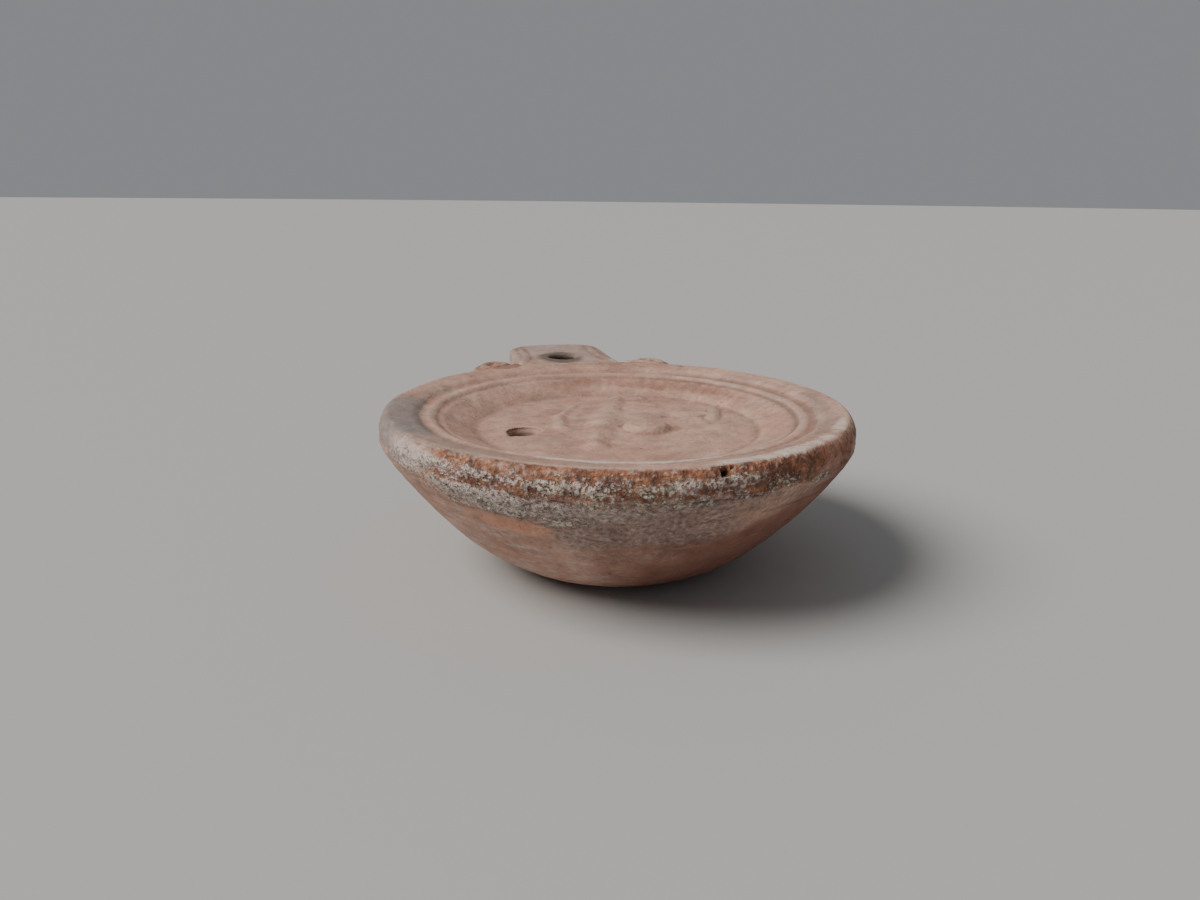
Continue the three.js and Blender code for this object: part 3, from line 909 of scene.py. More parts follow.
@dataclass
class LampSkin:
    """The lamp's fine surface: its relief, scrolls, wobble, wear, pits and crust, and the finish's masks."""

    lamp: bpy.types.Object
    body: LampBody
    volutes: tuple[Volute, Volute]
    relief: FighterRelief
    holes: tuple[Hole, ...]
    tongues: int = 80
    sharp_angle: float = 24.0
    softening: int = 7

    def read(self, hollow: BVHTree) -> None:
        """Reads the joined mesh and finds which points are on its outside.

        Args:
            hollow: The surface of the chamber and channel, in metres.
        """
        mesh = self.lamp.data
        flat = np.empty(len(mesh.vertices) * 3)
        mesh.vertices.foreach_get("co", flat)
        self.points = flat.reshape(-1, 3) / MM
        pairs = np.empty(len(mesh.edges) * 2, dtype=np.int32)
        mesh.edges.foreach_get("vertices", pairs)
        self.edges = pairs.reshape(-1, 2)
        self.degree = np.maximum(np.bincount(self.edges.ravel(), minlength=len(self.points)), 1).astype(float)
        inner = [hollow.find_nearest(vertex.co, 2e-5)[0] is not None for vertex in mesh.vertices]
        self.outside = 1.0 - np.array(inner, dtype=float)

    def neighbours(self, values: np.ndarray) -> np.ndarray:
        """Returns the mean of each point's neighbours.

        Args:
            values: One value or row for each point.

        Returns:
            The means, in the same form.
        """
        first, second = self.edges[:, 0], self.edges[:, 1]
        count = len(self.points)
        means = []
        for column in values.reshape(count, -1).T:
            total = np.bincount(first, weights=column[second], minlength=count)
            total += np.bincount(second, weights=column[first], minlength=count)
            means.append(total / self.degree)
        return np.column_stack(means).reshape(values.shape)

    def normals(self) -> np.ndarray:
        """Returns the outward direction at each point of the mesh as it stands.

        Returns:
            One direction for each point.
        """
        mesh = self.lamp.data
        mesh.vertices.foreach_set("co", (self.points * MM).ravel())
        mesh.update()
        flat = np.empty(len(self.points) * 3)
        mesh.vertex_normals.foreach_get("vector", flat)
        return flat.reshape(-1, 3)

    def soften(self) -> None:
        """Rounds the sharp edges where forms meet, as wear and the potter's hand do."""
        work = bmesh.new()
        work.from_mesh(self.lamp.data)
        weight = np.zeros(len(self.points))
        for edge in work.edges:
            if len(edge.link_faces) == 2 and edge.calc_face_angle(0.0) > math.radians(self.sharp_angle):
                weight[edge.verts[0].index] = 1.0
                weight[edge.verts[1].index] = 1.0
        work.free()
        for _ in range(2):
            weight = np.maximum(weight, 1.4 * self.neighbours(weight)).clip(0.0, 1.0)
        weight *= self.outside
        for _ in range(self.softening):
            self.points += 0.5 * weight[:, None] * (self.neighbours(self.points) - self.points)

    def survey(self) -> None:
        """Works out where each point lies, which way it faces and what lies on it."""
        self.outward = self.normals()
        x, y, self.z = self.points.T
        self.radius = np.hypot(x, y)
        self.bearing = np.degrees(np.arctan2(y, x)) % 360.0
        past_nozzle = np.where(self.bearing < NOZZLE_BEARING, self.bearing + 360.0, self.bearing)
        around = np.radians(past_nozzle) * BODY_RADIUS
        self.unrolled = np.column_stack([around, self.z * 1.6, self.radius * 0.5])
        self.turned = turned_from(DARKEST_BEARING, self.bearing)
        self.front = smooth(80.0, 135.0, np.abs(turned_from(95.0, self.bearing)))
        self.right_side = smooth(-14.0, 12.0, self.turned) * smooth(150.0, 110.0, self.turned)
        self.upper = smooth(0.42, 0.72, self.outward[:, 2]) * self.outside
        on_body = smooth(*BODY_LIMIT, self.radius) * self.outside
        self.side = smooth(0.8, 0.45, self.outward[:, 2]) * on_body
        rim_height = self.z + 1.2 * (self.radius < 33.0)
        self.shoulder = smooth(28.9, 29.4, self.radius) * smooth(25.0, 25.4, rim_height) * on_body
        self.rim = smooth(31.0, 31.8, self.radius) * smooth(20.5, 23.5, self.z) * on_body

    def patches(self, coat: Coat) -> np.ndarray:
        """Returns where one coat lies, with ragged outlines.

        Args:
            coat: The coat, with its patches and its ground.

        Returns:
            Shares from 0 to 1.
        """
        grounds = {
            Ground.SIDE: self.side,
            Ground.RIM: self.rim,
            Ground.SHOULDER: self.shoulder,
            Ground.UPPER: self.upper,
        }
        levels = self.z if coat.ground is Ground.SIDE else self.radius
        ragged = ClayNoise(coat.seed).layered(self.unrolled, coat.wave, 3)
        covers = [patch.cover(self.bearing, levels, ragged) for patch in coat.patches]
        return coat.strength * np.maximum.reduce(covers) * grounds[coat.ground]

    def paint(self) -> dict[str, np.ndarray]:
        """Works out the masks of the finish that follow from the place on the lamp.

        Returns:
            Shares from 0 to 1, under the names that the material reads.
        """
        noise = ClayNoise(PAINT_SEED)
        masks = {name: self.patches(coat) for name, coat in COATS.items()}
        masks["rust"] = self._rust_band(noise)
        masks["lower_bowl_shade"] = self._lower_bowl_shade(noise)
        grainy_rust = 0.7 * masks["rust"] * (1.0 - 0.75 * self.right_side)
        masks["coarse"] = np.maximum.reduce([masks["crust"], 0.6 * masks["granular"], grainy_rust])
        self._dress_nozzle(masks, noise)
        masks["hole"] = self._darkness()
        return masks

    def _rust_band(self, noise: ClayNoise) -> np.ndarray:
        """Returns the mask of the grainy rust-brown band under the edge, which is strongest at the front.

        Args:
            noise: The noise in its outlines.

        Returns:
            Shares from 0 to 1.
        """
        streaks = 0.5 + 0.5 * noise.layered(self.unrolled, (14.0, 1.1, 8.0), 3)
        low = 21.4 + 0.9 * noise.layered(self.points, 5.0, 3)
        band = smooth(25.7, 25.45, self.z) * smooth(-0.7, 0.7, self.z - low) * self.outside
        band *= smooth(35.9, 36.6, self.radius) * smooth(*BODY_LIMIT, self.radius)
        band *= smooth(35.0, 33.5, self.points[:, 1]) * (1.0 - 0.68 * smooth(-74.0, -94.0, self.turned))
        band *= 1.0 - 0.3 * self.right_side
        return band * (0.35 + 0.65 * self.front) * (0.6 + 0.4 * smooth(0.3, 0.6, streaks))

    def _lower_bowl_shade(self, noise: ClayNoise) -> np.ndarray:
        """Returns the mask of painted shade low on the bowl, which climbs highest at the right, the side away
        from the key light.

        Args:
            noise: The noise in its outlines.

        Returns:
            Shares from 0 to 1.
        """
        turn = self.turned + 12.0 * noise.layered(self.points, 12.0, 3)
        facing = smooth(-62.0, -32.0, turn) * smooth(85.0, 42.0, turn) * smooth(10.0, 17.0, self.radius)
        facing *= 0.76 + 0.24 * smooth(-24.0, 0.0, turn)
        limit = 15.5 + 6.0 * smooth(-18.0, 18.0, self.turned) * smooth(150.0, 110.0, self.turned)
        low = smooth(3.0, -3.0, self.z - limit + 1.5 * noise.layered(self.points, 9.0, 2))
        return low * self.side * (0.15 + 0.85 * facing)

    def _dress_nozzle(self, masks: dict[str, np.ndarray], noise: ClayNoise) -> None:
        """Stains the nozzle's end, its flanks and the volutes, and scorches the rim of the wick hole.

        Args:
            masks: The masks so far, which are added to.
            noise: The noise in the outlines.
        """
        x, y = self.points[:, 0], self.points[:, 1]
        on_nozzle = smooth(39.0, 40.5, self.radius) * self.outside * smooth(*UNDERSIDE_LIMIT, self.z)
        around_wick = np.hypot(x + 0.8, y - 49.5) + 2.5 * noise.layered(self.points, 5.0, 2)
        volute = self.volutes[0]
        knob = smooth(5.6, 4.6, np.hypot(np.abs(x) - volute.spread, y - volute.centre[1])) * self.outside
        flank = smooth(4.8, 7.2, np.abs(x)) * smooth(41.0, 45.0, y) * smooth(21.5, 23.0, self.z)
        stains = (
            0.35 * smooth(11.5, 4.0, around_wick) * on_nozzle,
            (0.6 - 0.3 * np.sign(x)) * knob,
            0.6 * smooth(16.5, 19.5, x) * knob,
            0.65 * flank * self.outside,
        )
        masks["stain"] = np.maximum.reduce([masks["stain"], *stains])
        scorched = np.hypot(x + 0.9, (y - 46.6) / 1.5) + 0.5 * noise.layered(self.points, 2.5, 2)
        masks["scorch"] = smooth(5.6, 2.8, scorched) * on_nozzle
        masks["nozzle"] = self.outside * smooth(36.0, 47.0, y + 4.0 * noise.layered(self.points, 9.0, 3))

    def _darkness(self) -> np.ndarray:
        """Returns the mask of what is painted nearly black: painted shade inside the holes and the small
        pits, soot in the wick hole, and the scar of the joint.

        Returns:
            Shares from 0 to 1.
        """
        dark = [0.6 * self.front * self._scrape(ClayNoise(SHAPE_SEED), SCAR_HEIGHT, 0.3)]
        for hole in self.holes:
            away = np.hypot(self.points[:, 0] - hole.centre[0], self.points[:, 1] - hole.centre[1])
            inside = smooth(hole.radius + 0.9, hole.radius + 0.1, away) * self.outside
            inside *= smooth(hole.top - 0.25, hole.top - 1.0, self.z)
            inside *= smooth(hole.bottom - 0.5, hole.bottom + 0.5, self.z)
            dark.append(inside * hole.shade_and_soot)
        for pit in PITS:
            away = np.linalg.norm(self.points - np.array(pit.place), axis=1)
            dark.append(pit.darkness * smooth(1.05 * pit.radius, 0.5 * pit.radius, away))
        return np.maximum.reduce(dark)

    def _scrape(self, noise: ClayNoise, height: float, spread: float) -> np.ndarray:
        """Returns where a wavy, broken line round the side runs.

        Args:
            noise: The noise that bends and breaks it.
            height: Its middle height.
            spread: Half its width.

        Returns:
            Shares from 0 to 1.
        """
        line = height + 0.4 * noise.layered(self.points, 11.0, 3)
        broken = smooth(-0.25, 0.3, noise.layered(self.points + height, 6.0, 2))
        return self.side * bump(self.z - line, 0.0, spread) * broken

    def _lift(self, wear: np.ndarray) -> np.ndarray:
        """Returns how far the figure, the tongues on the slope and the scrolls rise.

        Args:
            wear: How worn each point is, from 0 to 1.

        Returns:
            A height for each point.
        """
        points = self.points
        on_disc = self.upper * (self.radius < 37.2) * (self.z > 20.0)
        lift = np.zeros(len(points))
        in_field = on_disc * smooth(22.5, 21.9, self.radius)
        chosen = in_field > 0.0
        lift[chosen] += in_field[chosen] * self.relief.lift(points[chosen, :2], wear[chosen])
        slope = smooth(23.9, 25.2, self.radius) * smooth(28.5, 27.9, self.radius) * on_disc
        turn = np.radians(self.bearing)
        far_side = 0.15 + 0.85 * smooth(-0.2, 0.9, np.cos(turn - math.radians(TONGUES_BEARING)))
        scallop = np.abs(np.cos(turn * self.tongues / 2.0)) ** 0.7 - 0.62
        lift += slope * far_side * 0.13 * scallop * (1.0 - 0.6 * wear)
        on_scrolls = self.upper * smooth(36.4, 37.2, self.radius) * (points[:, 1] > 28.0)
        for volute in self.volutes:
            near = (on_scrolls > 0.0) & (points[:, 0] * volute.side > -1.0)
            lift[near] += on_scrolls[near] * volute.relief(points[near, :2]) * (1.0 - 0.3 * wear[near])
        return lift

    def shape(self, masks: dict[str, np.ndarray]) -> None:
        """Moves the outside's points: relief, tongues, scrolls, seam, wobble, wear, pits and crust.

        Args:
            masks: The masks of the finish.
        """
        noise = ClayNoise(SHAPE_SEED)
        points = self.points
        raised = points.copy()
        raised[:, 2] += self._lift(0.5 + 0.5 * noise.layered(points, 9.0, 2))
        push = 0.16 * noise.layered(points, 13.0, 2) + 0.045 * noise.layered(points, 3.2, 2)
        push += 0.06 * self.side * noise.layered(self.unrolled, (16.0, 1.2, 8.0), 2)
        seam = self.side * bump(self.z, self.body.widest_height, 0.5)
        push += seam * (0.16 + 0.16 * noise.layered(points, 2.6, 2))
        for height, depth in SCRAPES:
            push -= depth * self._scrape(noise, height, 0.32)
        lumps = 0.5 + 0.5 * noise.layered(points, 0.95, 2)
        push += masks["crust"] * (0.04 + 0.16 * lumps) + masks["granular"] * 0.1 * (lumps - 0.4)
        crumbled = (1.0 - 0.8 * self.right_side) * self.side * bump(self.z, 21.5, 4.0)
        push -= 0.12 * crumbled * smooth(0.35, 0.6, noise.layered(points, 1.7, 2))
        for pit in PITS:
            push += self._pit(pit, noise)
        push *= self.outside * smooth(0.0, 1.2, self.z)
        self.points = raised + push[:, None] * self.outward
        self.points[:, 2] = np.maximum(self.points[:, 2], 0.0)

    def _pit(self, pit: Pit, noise: ClayNoise) -> np.ndarray:
        """Returns how far one pit pushes each point inwards, and its lip outwards.

        Args:
            pit: The pit.
            noise: The noise in its outline.

        Returns:
            A distance for each point, less than 0 where it goes in.
        """
        distance = np.linalg.norm(self.points - np.array(pit.place), axis=1) / pit.radius
        near = distance < 2.2
        ragged = distance[near] * (1.0 + pit.ragged * noise.value(self.points[near], pit.radius * 0.9))
        push = np.zeros(len(distance))
        push[near] = -pit.depth * smooth(1.05, 0.4, ragged) + pit.lip * bump(ragged, 1.2, 0.22)
        return push

    def hollows(self, masks: dict[str, np.ndarray]) -> None:
        """Adds the masks of hollows, darkened with dirt and painted shade, and of edges that are rubbed.

        Args:
            masks: The masks of the finish, which are added to.
        """
        outward = self.normals()
        # Dirt and painted shade in the hollows, strongest on the side away from the key light.
        dirt_and_shade_side = 0.4 + 0.6 * smooth(-0.1, 0.8, np.cos(np.radians(self.bearing - DIRT_AND_SHADE_BEARING)))
        for name, rounds, reach in (("fine", 3, 0.05), ("broad", 16, 0.24)):
            mean = self.points
            for _ in range(rounds):
                mean = self.neighbours(mean)
            rise = np.einsum("ij,ij->i", self.points - mean, outward)
            if name == "fine":
                masks["rubbed"] = smooth(0.0, reach, rise) * self.outside * (1.0 - masks["rust"])
            masks["dirt_" + name] = smooth(0.0, reach, -rise) * self.outside * dirt_and_shade_side

    def write(self, masks: dict[str, np.ndarray]) -> None:
        """Stores the shape, the masks and which faces are inside on the mesh.

        Args:
            masks: The masks of the finish, by name.
        """
        mesh = self.lamp.data
        mesh.vertices.foreach_set("co", (self.points * MM).ravel())
        for name, values in masks.items():
            layer = mesh.attributes.new(name, "FLOAT", "POINT")
            layer.data.foreach_set("value", values.astype(np.float32))
        inner = self.outside < 0.5
        for face in mesh.polygons:
            face.material_index = int(all(inner[number] for number in face.vertices))
        mesh.shade_smooth()
        mesh.set_sharp_from_angle(angle=math.radians(50.0))
        mesh.update()


class Sheet:
    """A node tree that is filled in by short calls, for a material or a shared group."""

    def __init__(self, tree: bpy.types.NodeTree) -> None:
        """Keeps the tree that the nodes go into."""
        self.tree = tree

    def node(
        self, kind: str, inputs: dict[str | int, object] | None = None, **settings: object
    ) -> bpy.types.Node:
        """Adds a node.

        Args:
            kind: The node's type, without ShaderNode.
            inputs: Values for its inputs, or sockets that are linked to them.
            settings: Its other settings.

        Returns:
            The new node.
        """
        made = self.tree.nodes.new("ShaderNode" + kind)
        for name, value in settings.items():
            setattr(made, name, value)
        for name, value in (inputs or {}).items():
            self.feed(made.inputs[name], value)
        return made

    def feed(self, target: Socket, value: object) -> None:
        """Links a socket to an input, or sets the input to a plain value.

        Args:
            target: The input.
            value: The socket or the plain value.
        """
        if isinstance(value, Socket):
            self.tree.links.new(value, target)
        else:
            target.default_value = value

    def noise(self, vector: Socket, scale: Number, detail: float = 4.0, rough: float = 0.55) -> Socket:
        """Returns the value of a noise texture."""
        inputs = {"Vector": vector, "Scale": scale, "Detail": detail, "Roughness": rough}
        return self.node("TexNoise", inputs).outputs["Fac"]

    def maths(self, operation: str, first: Number, second: Number) -> Socket:
        """Returns the result of two values."""
        return self.node("Math", {0: first, 1: second}, operation=operation).outputs[0]

    def times(self, first: Number, second: Number) -> Socket:
        """Returns a product."""
        return self.maths("MULTIPLY", first, second)

    def plus(self, first: Number, second: Number) -> Socket:
        """Returns a sum."""
        return self.maths("ADD", first, second)

    def ramp(self, value: Socket, low: Number, high: Number) -> Socket:
        """Returns 0 where the value is under low, 1 where it is over high, and a smooth rise between."""
        inputs = {"Value": value, "From Min": low, "From Max": high}
        return self.node("MapRange", inputs, interpolation_type="SMOOTHSTEP").outputs["Result"]

    def spread(self, value: Socket, low: float, high: float) -> Socket:
        """Returns the value with its usual range of .3 to .7 stretched to a new one."""
        inputs = {"Value": value, "From Min": 0.3, "From Max": 0.7, "To Min": low, "To Max": high}
        return self.node("MapRange", inputs).outputs["Result"]

    def blend(self, share: Number, first: object, second: object, mode: str = "MIX") -> Socket:
        """Returns a mix of two colours.

        Args:
            share: How much of the second one is in it.
            first: The first colour or its socket.
            second: The second colour or its socket.
            mode: The way they are mixed.

        Returns:
            The mixed colour.
        """
        inputs = {"Factor": share, 6: first, 7: second}
        return self.node("Mix", inputs, data_type="RGBA", blend_type=mode).outputs[2]

    def stretched(self, size: Triple = (1.0, 1.0, 1.0)) -> Socket:
        """Returns the surface's own coordinates, scaled each way."""
        place = self.node("TexCoord").outputs["Object"]
        return self.node("Mapping", {"Vector": place, "Scale": size}, vector_type="POINT").outputs["Vector"]

    def attribute(self, name: str) -> Socket:
        """Returns one of the mesh's masks as it is."""
        return self.node("Attribute", attribute_name=name).outputs["Fac"]


class SharedGroup:
    """A shader node group with named inputs and outputs, which is placed with other values each time."""

    def __init__(self, name: str, inputs: dict[str, float], outputs: tuple[str, ...]) -> None:
        """Makes the empty group.

        Args:
            name: The group's name.
            inputs: Names of its inputs with their usual values.
            outputs: Names of its outputs.
        """
        self.tree = bpy.data.node_groups.new(name, "ShaderNodeTree")
        for label, value in inputs.items():
            made = self.tree.interface.new_socket(label, in_out="INPUT", socket_type="NodeSocketFloat")
            made.default_value = value
        for label in outputs:
            self.tree.interface.new_socket(label, in_out="OUTPUT", socket_type="NodeSocketFloat")
        self.sheet = Sheet(self.tree)
        self.given = self.tree.nodes.new("NodeGroupInput").outputs
        self.result = self.tree.nodes.new("NodeGroupOutput").inputs

    def place(self, sheet: Sheet, inputs: dict[str, object]) -> bpy.types.Node:
        """Puts the group in a material.

        Args:
            sheet: The material's sheet.
            inputs: Values or sockets for the group's inputs.

        Returns:
            The group's node there.
        """
        made = sheet.tree.nodes.new("ShaderNodeGroup")
        made.node_tree = self.tree
        for name, value in inputs.items():
            sheet.feed(made.inputs[name], value)
        return made


class RaggedMask(SharedGroup):
    """The group that breaks a soft mask up into grains and flecks."""

    def mask(self, sheet: Sheet, name: str, grains: float, raggedness: float, softness: float) -> Socket:
        """Places the group on one of the mesh's masks.

        Args:
            sheet: The material's sheet.
            name: The mask's name.
            grains: How many grains there are to a metre.
            raggedness: How far the grains break the outline.
            softness: How soft the edge of each grain is.

        Returns:
            The mask, broken up.
        """
        inputs = {"Grains": grains, "Raggedness": raggedness, "Softness": softness}
        return self.place(sheet, {"Mask": sheet.attribute(name), **inputs}).outputs["Mask"]


def ragged_mask_group() -> RaggedMask:
    """Returns the group that breaks a soft mask up into grains and flecks.

    Returns:
        The new group.
    """
    usual = {"Mask": 0.0, "Grains": 900.0, "Raggedness": 0.5, "Softness": 0.15}
    group = RaggedMask("ragged_mask", usual, ("Mask",))
    sheet, given = group.sheet, group.given
    fine = sheet.noise(sheet.stretched((0.8, 0.8, 1.35)), given["Grains"], 5.0, 0.65)
    broad = sheet.noise(sheet.stretched((0.6, 0.6, 2.0)), sheet.times(given["Grains"], 0.27), 3.0, 0.5)
    grains = sheet.plus(sheet.plus(sheet.times(fine, 1.3), sheet.times(broad, 0.7)), -1.0)
    push = sheet.times(grains, sheet.times(given["Raggedness"], 2.4))
    high = sheet.plus(0.5, given["Softness"])
    low = sheet.plus(0.5, sheet.times(given["Softness"], -1.0))
    cut = sheet.ramp(sheet.plus(given["Mask"], push), low, high)
    sheet.feed(group.result["Mask"], sheet.times(cut, sheet.ramp(given["Mask"], 0.0, 0.25)))
    return group


def clay_grain_group() -> SharedGroup:
    """Returns the group for the grain of fired clay: its specks, mottling and fine relief.

    Returns:
        The new group.
    """
    outputs = ("Tone", "Mottling", "Specks", "Height")
    group = SharedGroup("clay_grain", {"Grains": 1500.0, "Specks": 0.5}, outputs)
    sheet, given = group.sheet, group.given
    place = sheet.stretched()
    fine = sheet.noise(place, given["Grains"], 6.0, 0.7)
    middle = sheet.noise(place, sheet.times(given["Grains"], 0.22), 4.0, 0.6)
    broad = sheet.noise(place, sheet.times(given["Grains"], 0.05), 4.0, 0.55)
    specks = sheet.ramp(sheet.noise(place, sheet.times(given["Grains"], 0.8), 2.0, 0.5), 0.68, 0.76)
    sheet.feed(group.result["Tone"], sheet.plus(sheet.times(fine, 0.5), sheet.times(middle, 0.5)))
    sheet.feed(group.result["Mottling"], sheet.ramp(broad, 0.32, 0.68))
    sheet.feed(group.result["Specks"], sheet.times(specks, given["Specks"]))
    lumps = sheet.plus(sheet.times(fine, 0.45), middle)
    sheet.feed(group.result["Height"], sheet.plus(lumps, sheet.times(specks, -0.5)))
    return group


def clay(red: float, green: float, blue: float) -> Colour:
    """Returns a colour as the shader takes it, from three values of 0 to 255 as a screen shows them."""
    return (*((value / 255.0) ** 2.2 for value in (red, green, blue)), 1.0)


@dataclass(frozen=True)
class Layer:
    """A colour that one of the mesh's masks lays over the clay, and the grain of its broken outline."""

    mask: str
    colour: Colour
    amount: float
    grains: float
    raggedness: float
    softness: float
    mottled: Colour | None = None


@dataclass(frozen=True)
class WeatheredClay:
    """The outside: pinkish buff clay with a rusty band, lime crust, scorching, rubbed edges and dirt, with
    painted shade low on the bowl and in grooves, hollows, holes and pits, and painted light on the lower left
    of the bowl and along the ridge.
    """

    buff: Colour = clay(196, 159, 141)
    tan: Colour = clay(184, 141, 122)
    dull: Colour = clay(160, 130, 116)
    mauve: Colour = clay(168, 124, 112)
    lime: Colour = clay(210, 200, 182)
    lilac_lime: Colour = clay(196, 179, 172)
    pale: Colour = clay(212, 198, 186)
    # Dark brown for dirt and painted shade in hollows, and for dark specks and pits in the crust.
    dirt: Colour = clay(96, 72, 60)
    # Painted shade inside the holes and the deep pits, with soot at the wick hole; also the dark scar of the
    # joint.
    hole: Colour = clay(62, 50, 44)
    layers: tuple[Layer, ...] = (
        # Painted shade: darker clay low on the bowl and up its right side, where shade falls.
        Layer("lower_bowl_shade", clay(130, 88, 75), 0.86, 200.0, 0.3, 0.45),
        Layer("nozzle", clay(162, 146, 138), 0.7, 300.0, 0.3, 0.4),
        Layer("stain", clay(140, 98, 80), 0.8, 260.0, 0.35, 0.4),
        Layer("smudge", clay(150, 127, 115), 0.7, 420.0, 0.5, 0.45),
        Layer("rubbed", clay(212, 198, 186), 0.14, 1500.0, 0.4, 0.45),
        Layer("rust", clay(164, 108, 79), 0.92, 900.0, 0.5, 0.35, clay(112, 72, 56)),
        Layer("orange", clay(212, 154, 127), 0.75, 400.0, 0.3, 0.45),
        Layer("granular", clay(148, 129, 121), 0.75, 1100.0, 0.6, 0.5),
        # Lilac lime bloom, and painted light on the lit lower left of the bowl.
        Layer("bloom_and_painted_light", clay(196, 179, 172), 0.72, 1000.0, 0.7, 0.35),
        Layer("grey", clay(134, 123, 119), 0.85, 420.0, 0.3, 0.5),
        # Painted shade in the grooves round the disc, with some grime.
        Layer("grime_and_groove_shade", clay(146, 126, 113), 0.55, 700.0, 0.4, 0.45),
        Layer("scorch", clay(98, 87, 78), 0.9, 420.0, 0.3, 0.5),
        # Pale rubbed wear, and a painted highlight along the top of the ridge at the front.
        Layer("pale", clay(212, 198, 186), 0.7, 900.0, 0.7, 0.4),
    )

    def material(self, ragged: RaggedMask, grain: SharedGroup) -> bpy.types.Material:
        """Makes the material.

        Args:
            ragged: The group that breaks masks up.
            grain: The group for the grain of the clay.

        Returns:
            The new material.
        """
        made = bpy.data.materials.new("weathered_clay")
        made.use_nodes = True
        sheet = Sheet(made.node_tree)
        shader = made.node_tree.nodes["Principled BSDF"].inputs
        grains = grain.place(sheet, {"Grains": 1500.0, "Specks": 0.5}).outputs
        place = sheet.stretched()
        speckle = sheet.noise(place, 1500.0, 2.0, 0.45)
        pores = sheet.ramp(sheet.noise(place, 2000.0, 2.0, 0.5), 0.38, 0.5)
        crust = sheet.times(ragged.mask(sheet, "crust", 1500.0, 1.0, 0.18), pores)
        coarse = sheet.attribute("coarse")

        colour = self._layered(sheet, ragged, sheet.blend(grains["Mottling"], self.buff, self.tan))
        tint = sheet.ramp(sheet.noise(place, 260.0, 2.0), 0.4, 0.6)
        colour = sheet.blend(sheet.times(crust, 0.85), colour, sheet.blend(tint, self.lime, self.lilac_lime))
        light = sheet.times(sheet.ramp(speckle, 0.55, 0.66), coarse)
        colour = sheet.blend(sheet.times(light, 0.5), colour, self.pale)
        dark = sheet.times(sheet.ramp(speckle, 0.46, 0.37), coarse)
        colour = sheet.blend(sheet.times(dark, 0.7), colour, self.dirt)
        tone = sheet.spread(grains["Tone"], 0.7, 1.24)
        shade = sheet.node("CombineColor", {0: tone, 1: tone, 2: tone}).outputs[0]
        colour = sheet.blend(1.0, colour, shade, "MULTIPLY")
        colour = sheet.blend(sheet.times(grains["Specks"], 0.5), colour, self.dirt)
        sheet.feed(shader["Base Color"], colour)

        streaks = sheet.noise(sheet.stretched((60.0, 60.0, 1100.0)), 1.0, 5.0, 0.6)
        sheet.feed(shader["Roughness"], sheet.spread(streaks, 0.8, 0.97))
        shader["Specular IOR Level"].default_value = 0.3

        relief = sheet.times(grains["Height"], sheet.plus(coarse, 1.0))
        wrinkles = sheet.noise(sheet.stretched((420.0, 420.0, 1300.0)), 1.0, 4.0, 0.6)
        raised = ((streaks, 0.4), (wrinkles, 0.9), (crust, 1.2), (sheet.times(speckle, coarse), 3.0))
        for value, height in raised:
            relief = sheet.plus(relief, sheet.times(value, height))
        inputs = {"Height": relief, "Strength": 0.9, "Distance": 0.00024}
        sheet.feed(shader["Normal"], sheet.node("Bump", inputs).outputs["Normal"])
        return made

    def _layered(self, sheet: Sheet, ragged: RaggedMask, colour: Socket) -> Socket:
        """Lays the mottling, the stains, the painted shade and painted light, the dirt and painted shade in
        hollows, and the painted shade in holes and pits over the clay.

        Args:
            sheet: The material's sheet.
            ragged: The group that breaks masks up.
            colour: The bare clay.

        Returns:
            The colour with all of them.
        """
        place = sheet.stretched()
        broad = sheet.ramp(sheet.noise(place, 130.0, 5.0, 0.65), 0.42, 0.62)
        small = sheet.ramp(sheet.noise(place, 430.0, 4.0, 0.65), 0.48, 0.66)
        mottling = sheet.ramp(sheet.noise(place, 560.0, 4.0, 0.65), 0.4, 0.6)
        colour = sheet.blend(sheet.times(broad, 0.45), colour, self.dull)
        colour = sheet.blend(sheet.times(small, 0.45), colour, self.mauve)
        for layer in self.layers:
            tint = layer.colour
            if layer.mottled:
                tint = sheet.blend(mottling, layer.colour, layer.mottled)
            cover = ragged.mask(sheet, layer.mask, layer.grains, layer.raggedness, layer.softness)
            colour = sheet.blend(sheet.times(cover, layer.amount), colour, tint)
        # Dirt and painted shade in the hollows.
        dirt = sheet.times(ragged.mask(sheet, "dirt_broad", 900.0, 0.35, 0.5), 0.6)
        dirt = sheet.maths("MAXIMUM", ragged.mask(sheet, "dirt_fine", 1500.0, 0.35, 0.45), dirt)
        colour = sheet.blend(sheet.times(dirt, 0.4), colour, self.dirt)
        return sheet.blend(sheet.times(ragged.mask(sheet, "hole", 900.0, 0.2, 0.4), 0.9), colour, self.hole)


@dataclass(frozen=True)
class ChamberClay:
    """The inside: plain rough clay, darkened by old oil."""

    oiled: Colour = clay(126, 84, 62)
    bare: Colour = clay(156, 116, 94)

    def material(self, grain: SharedGroup) -> bpy.types.Material:
        """Makes the material from the shared grain of the clay.

        Args:
            grain: The group for the grain of the clay.

        Returns:
            The new material.
        """
        made = bpy.data.materials.new("chamber_clay")
        made.use_nodes = True
        sheet = Sheet(made.node_tree)
        shader = made.node_tree.nodes["Principled BSDF"]
        grains = grain.place(sheet, {"Grains": 900.0, "Specks": 0.3}).outputs
        sheet.feed(shader.inputs["Base Color"], sheet.blend(grains["Mottling"], self.oiled, self.bare))
        rough = sheet.node("MapRange", {"Value": grains["Tone"], "To Min": 0.7, "To Max": 0.95}).outputs[0]
        sheet.feed(shader.inputs["Roughness"], rough)
        inputs = {"Height": grains["Height"], "Strength": 0.6, "Distance": 0.0003}
        sheet.feed(shader.inputs["Normal"], sheet.node("Bump", inputs).outputs["Normal"])
        return made


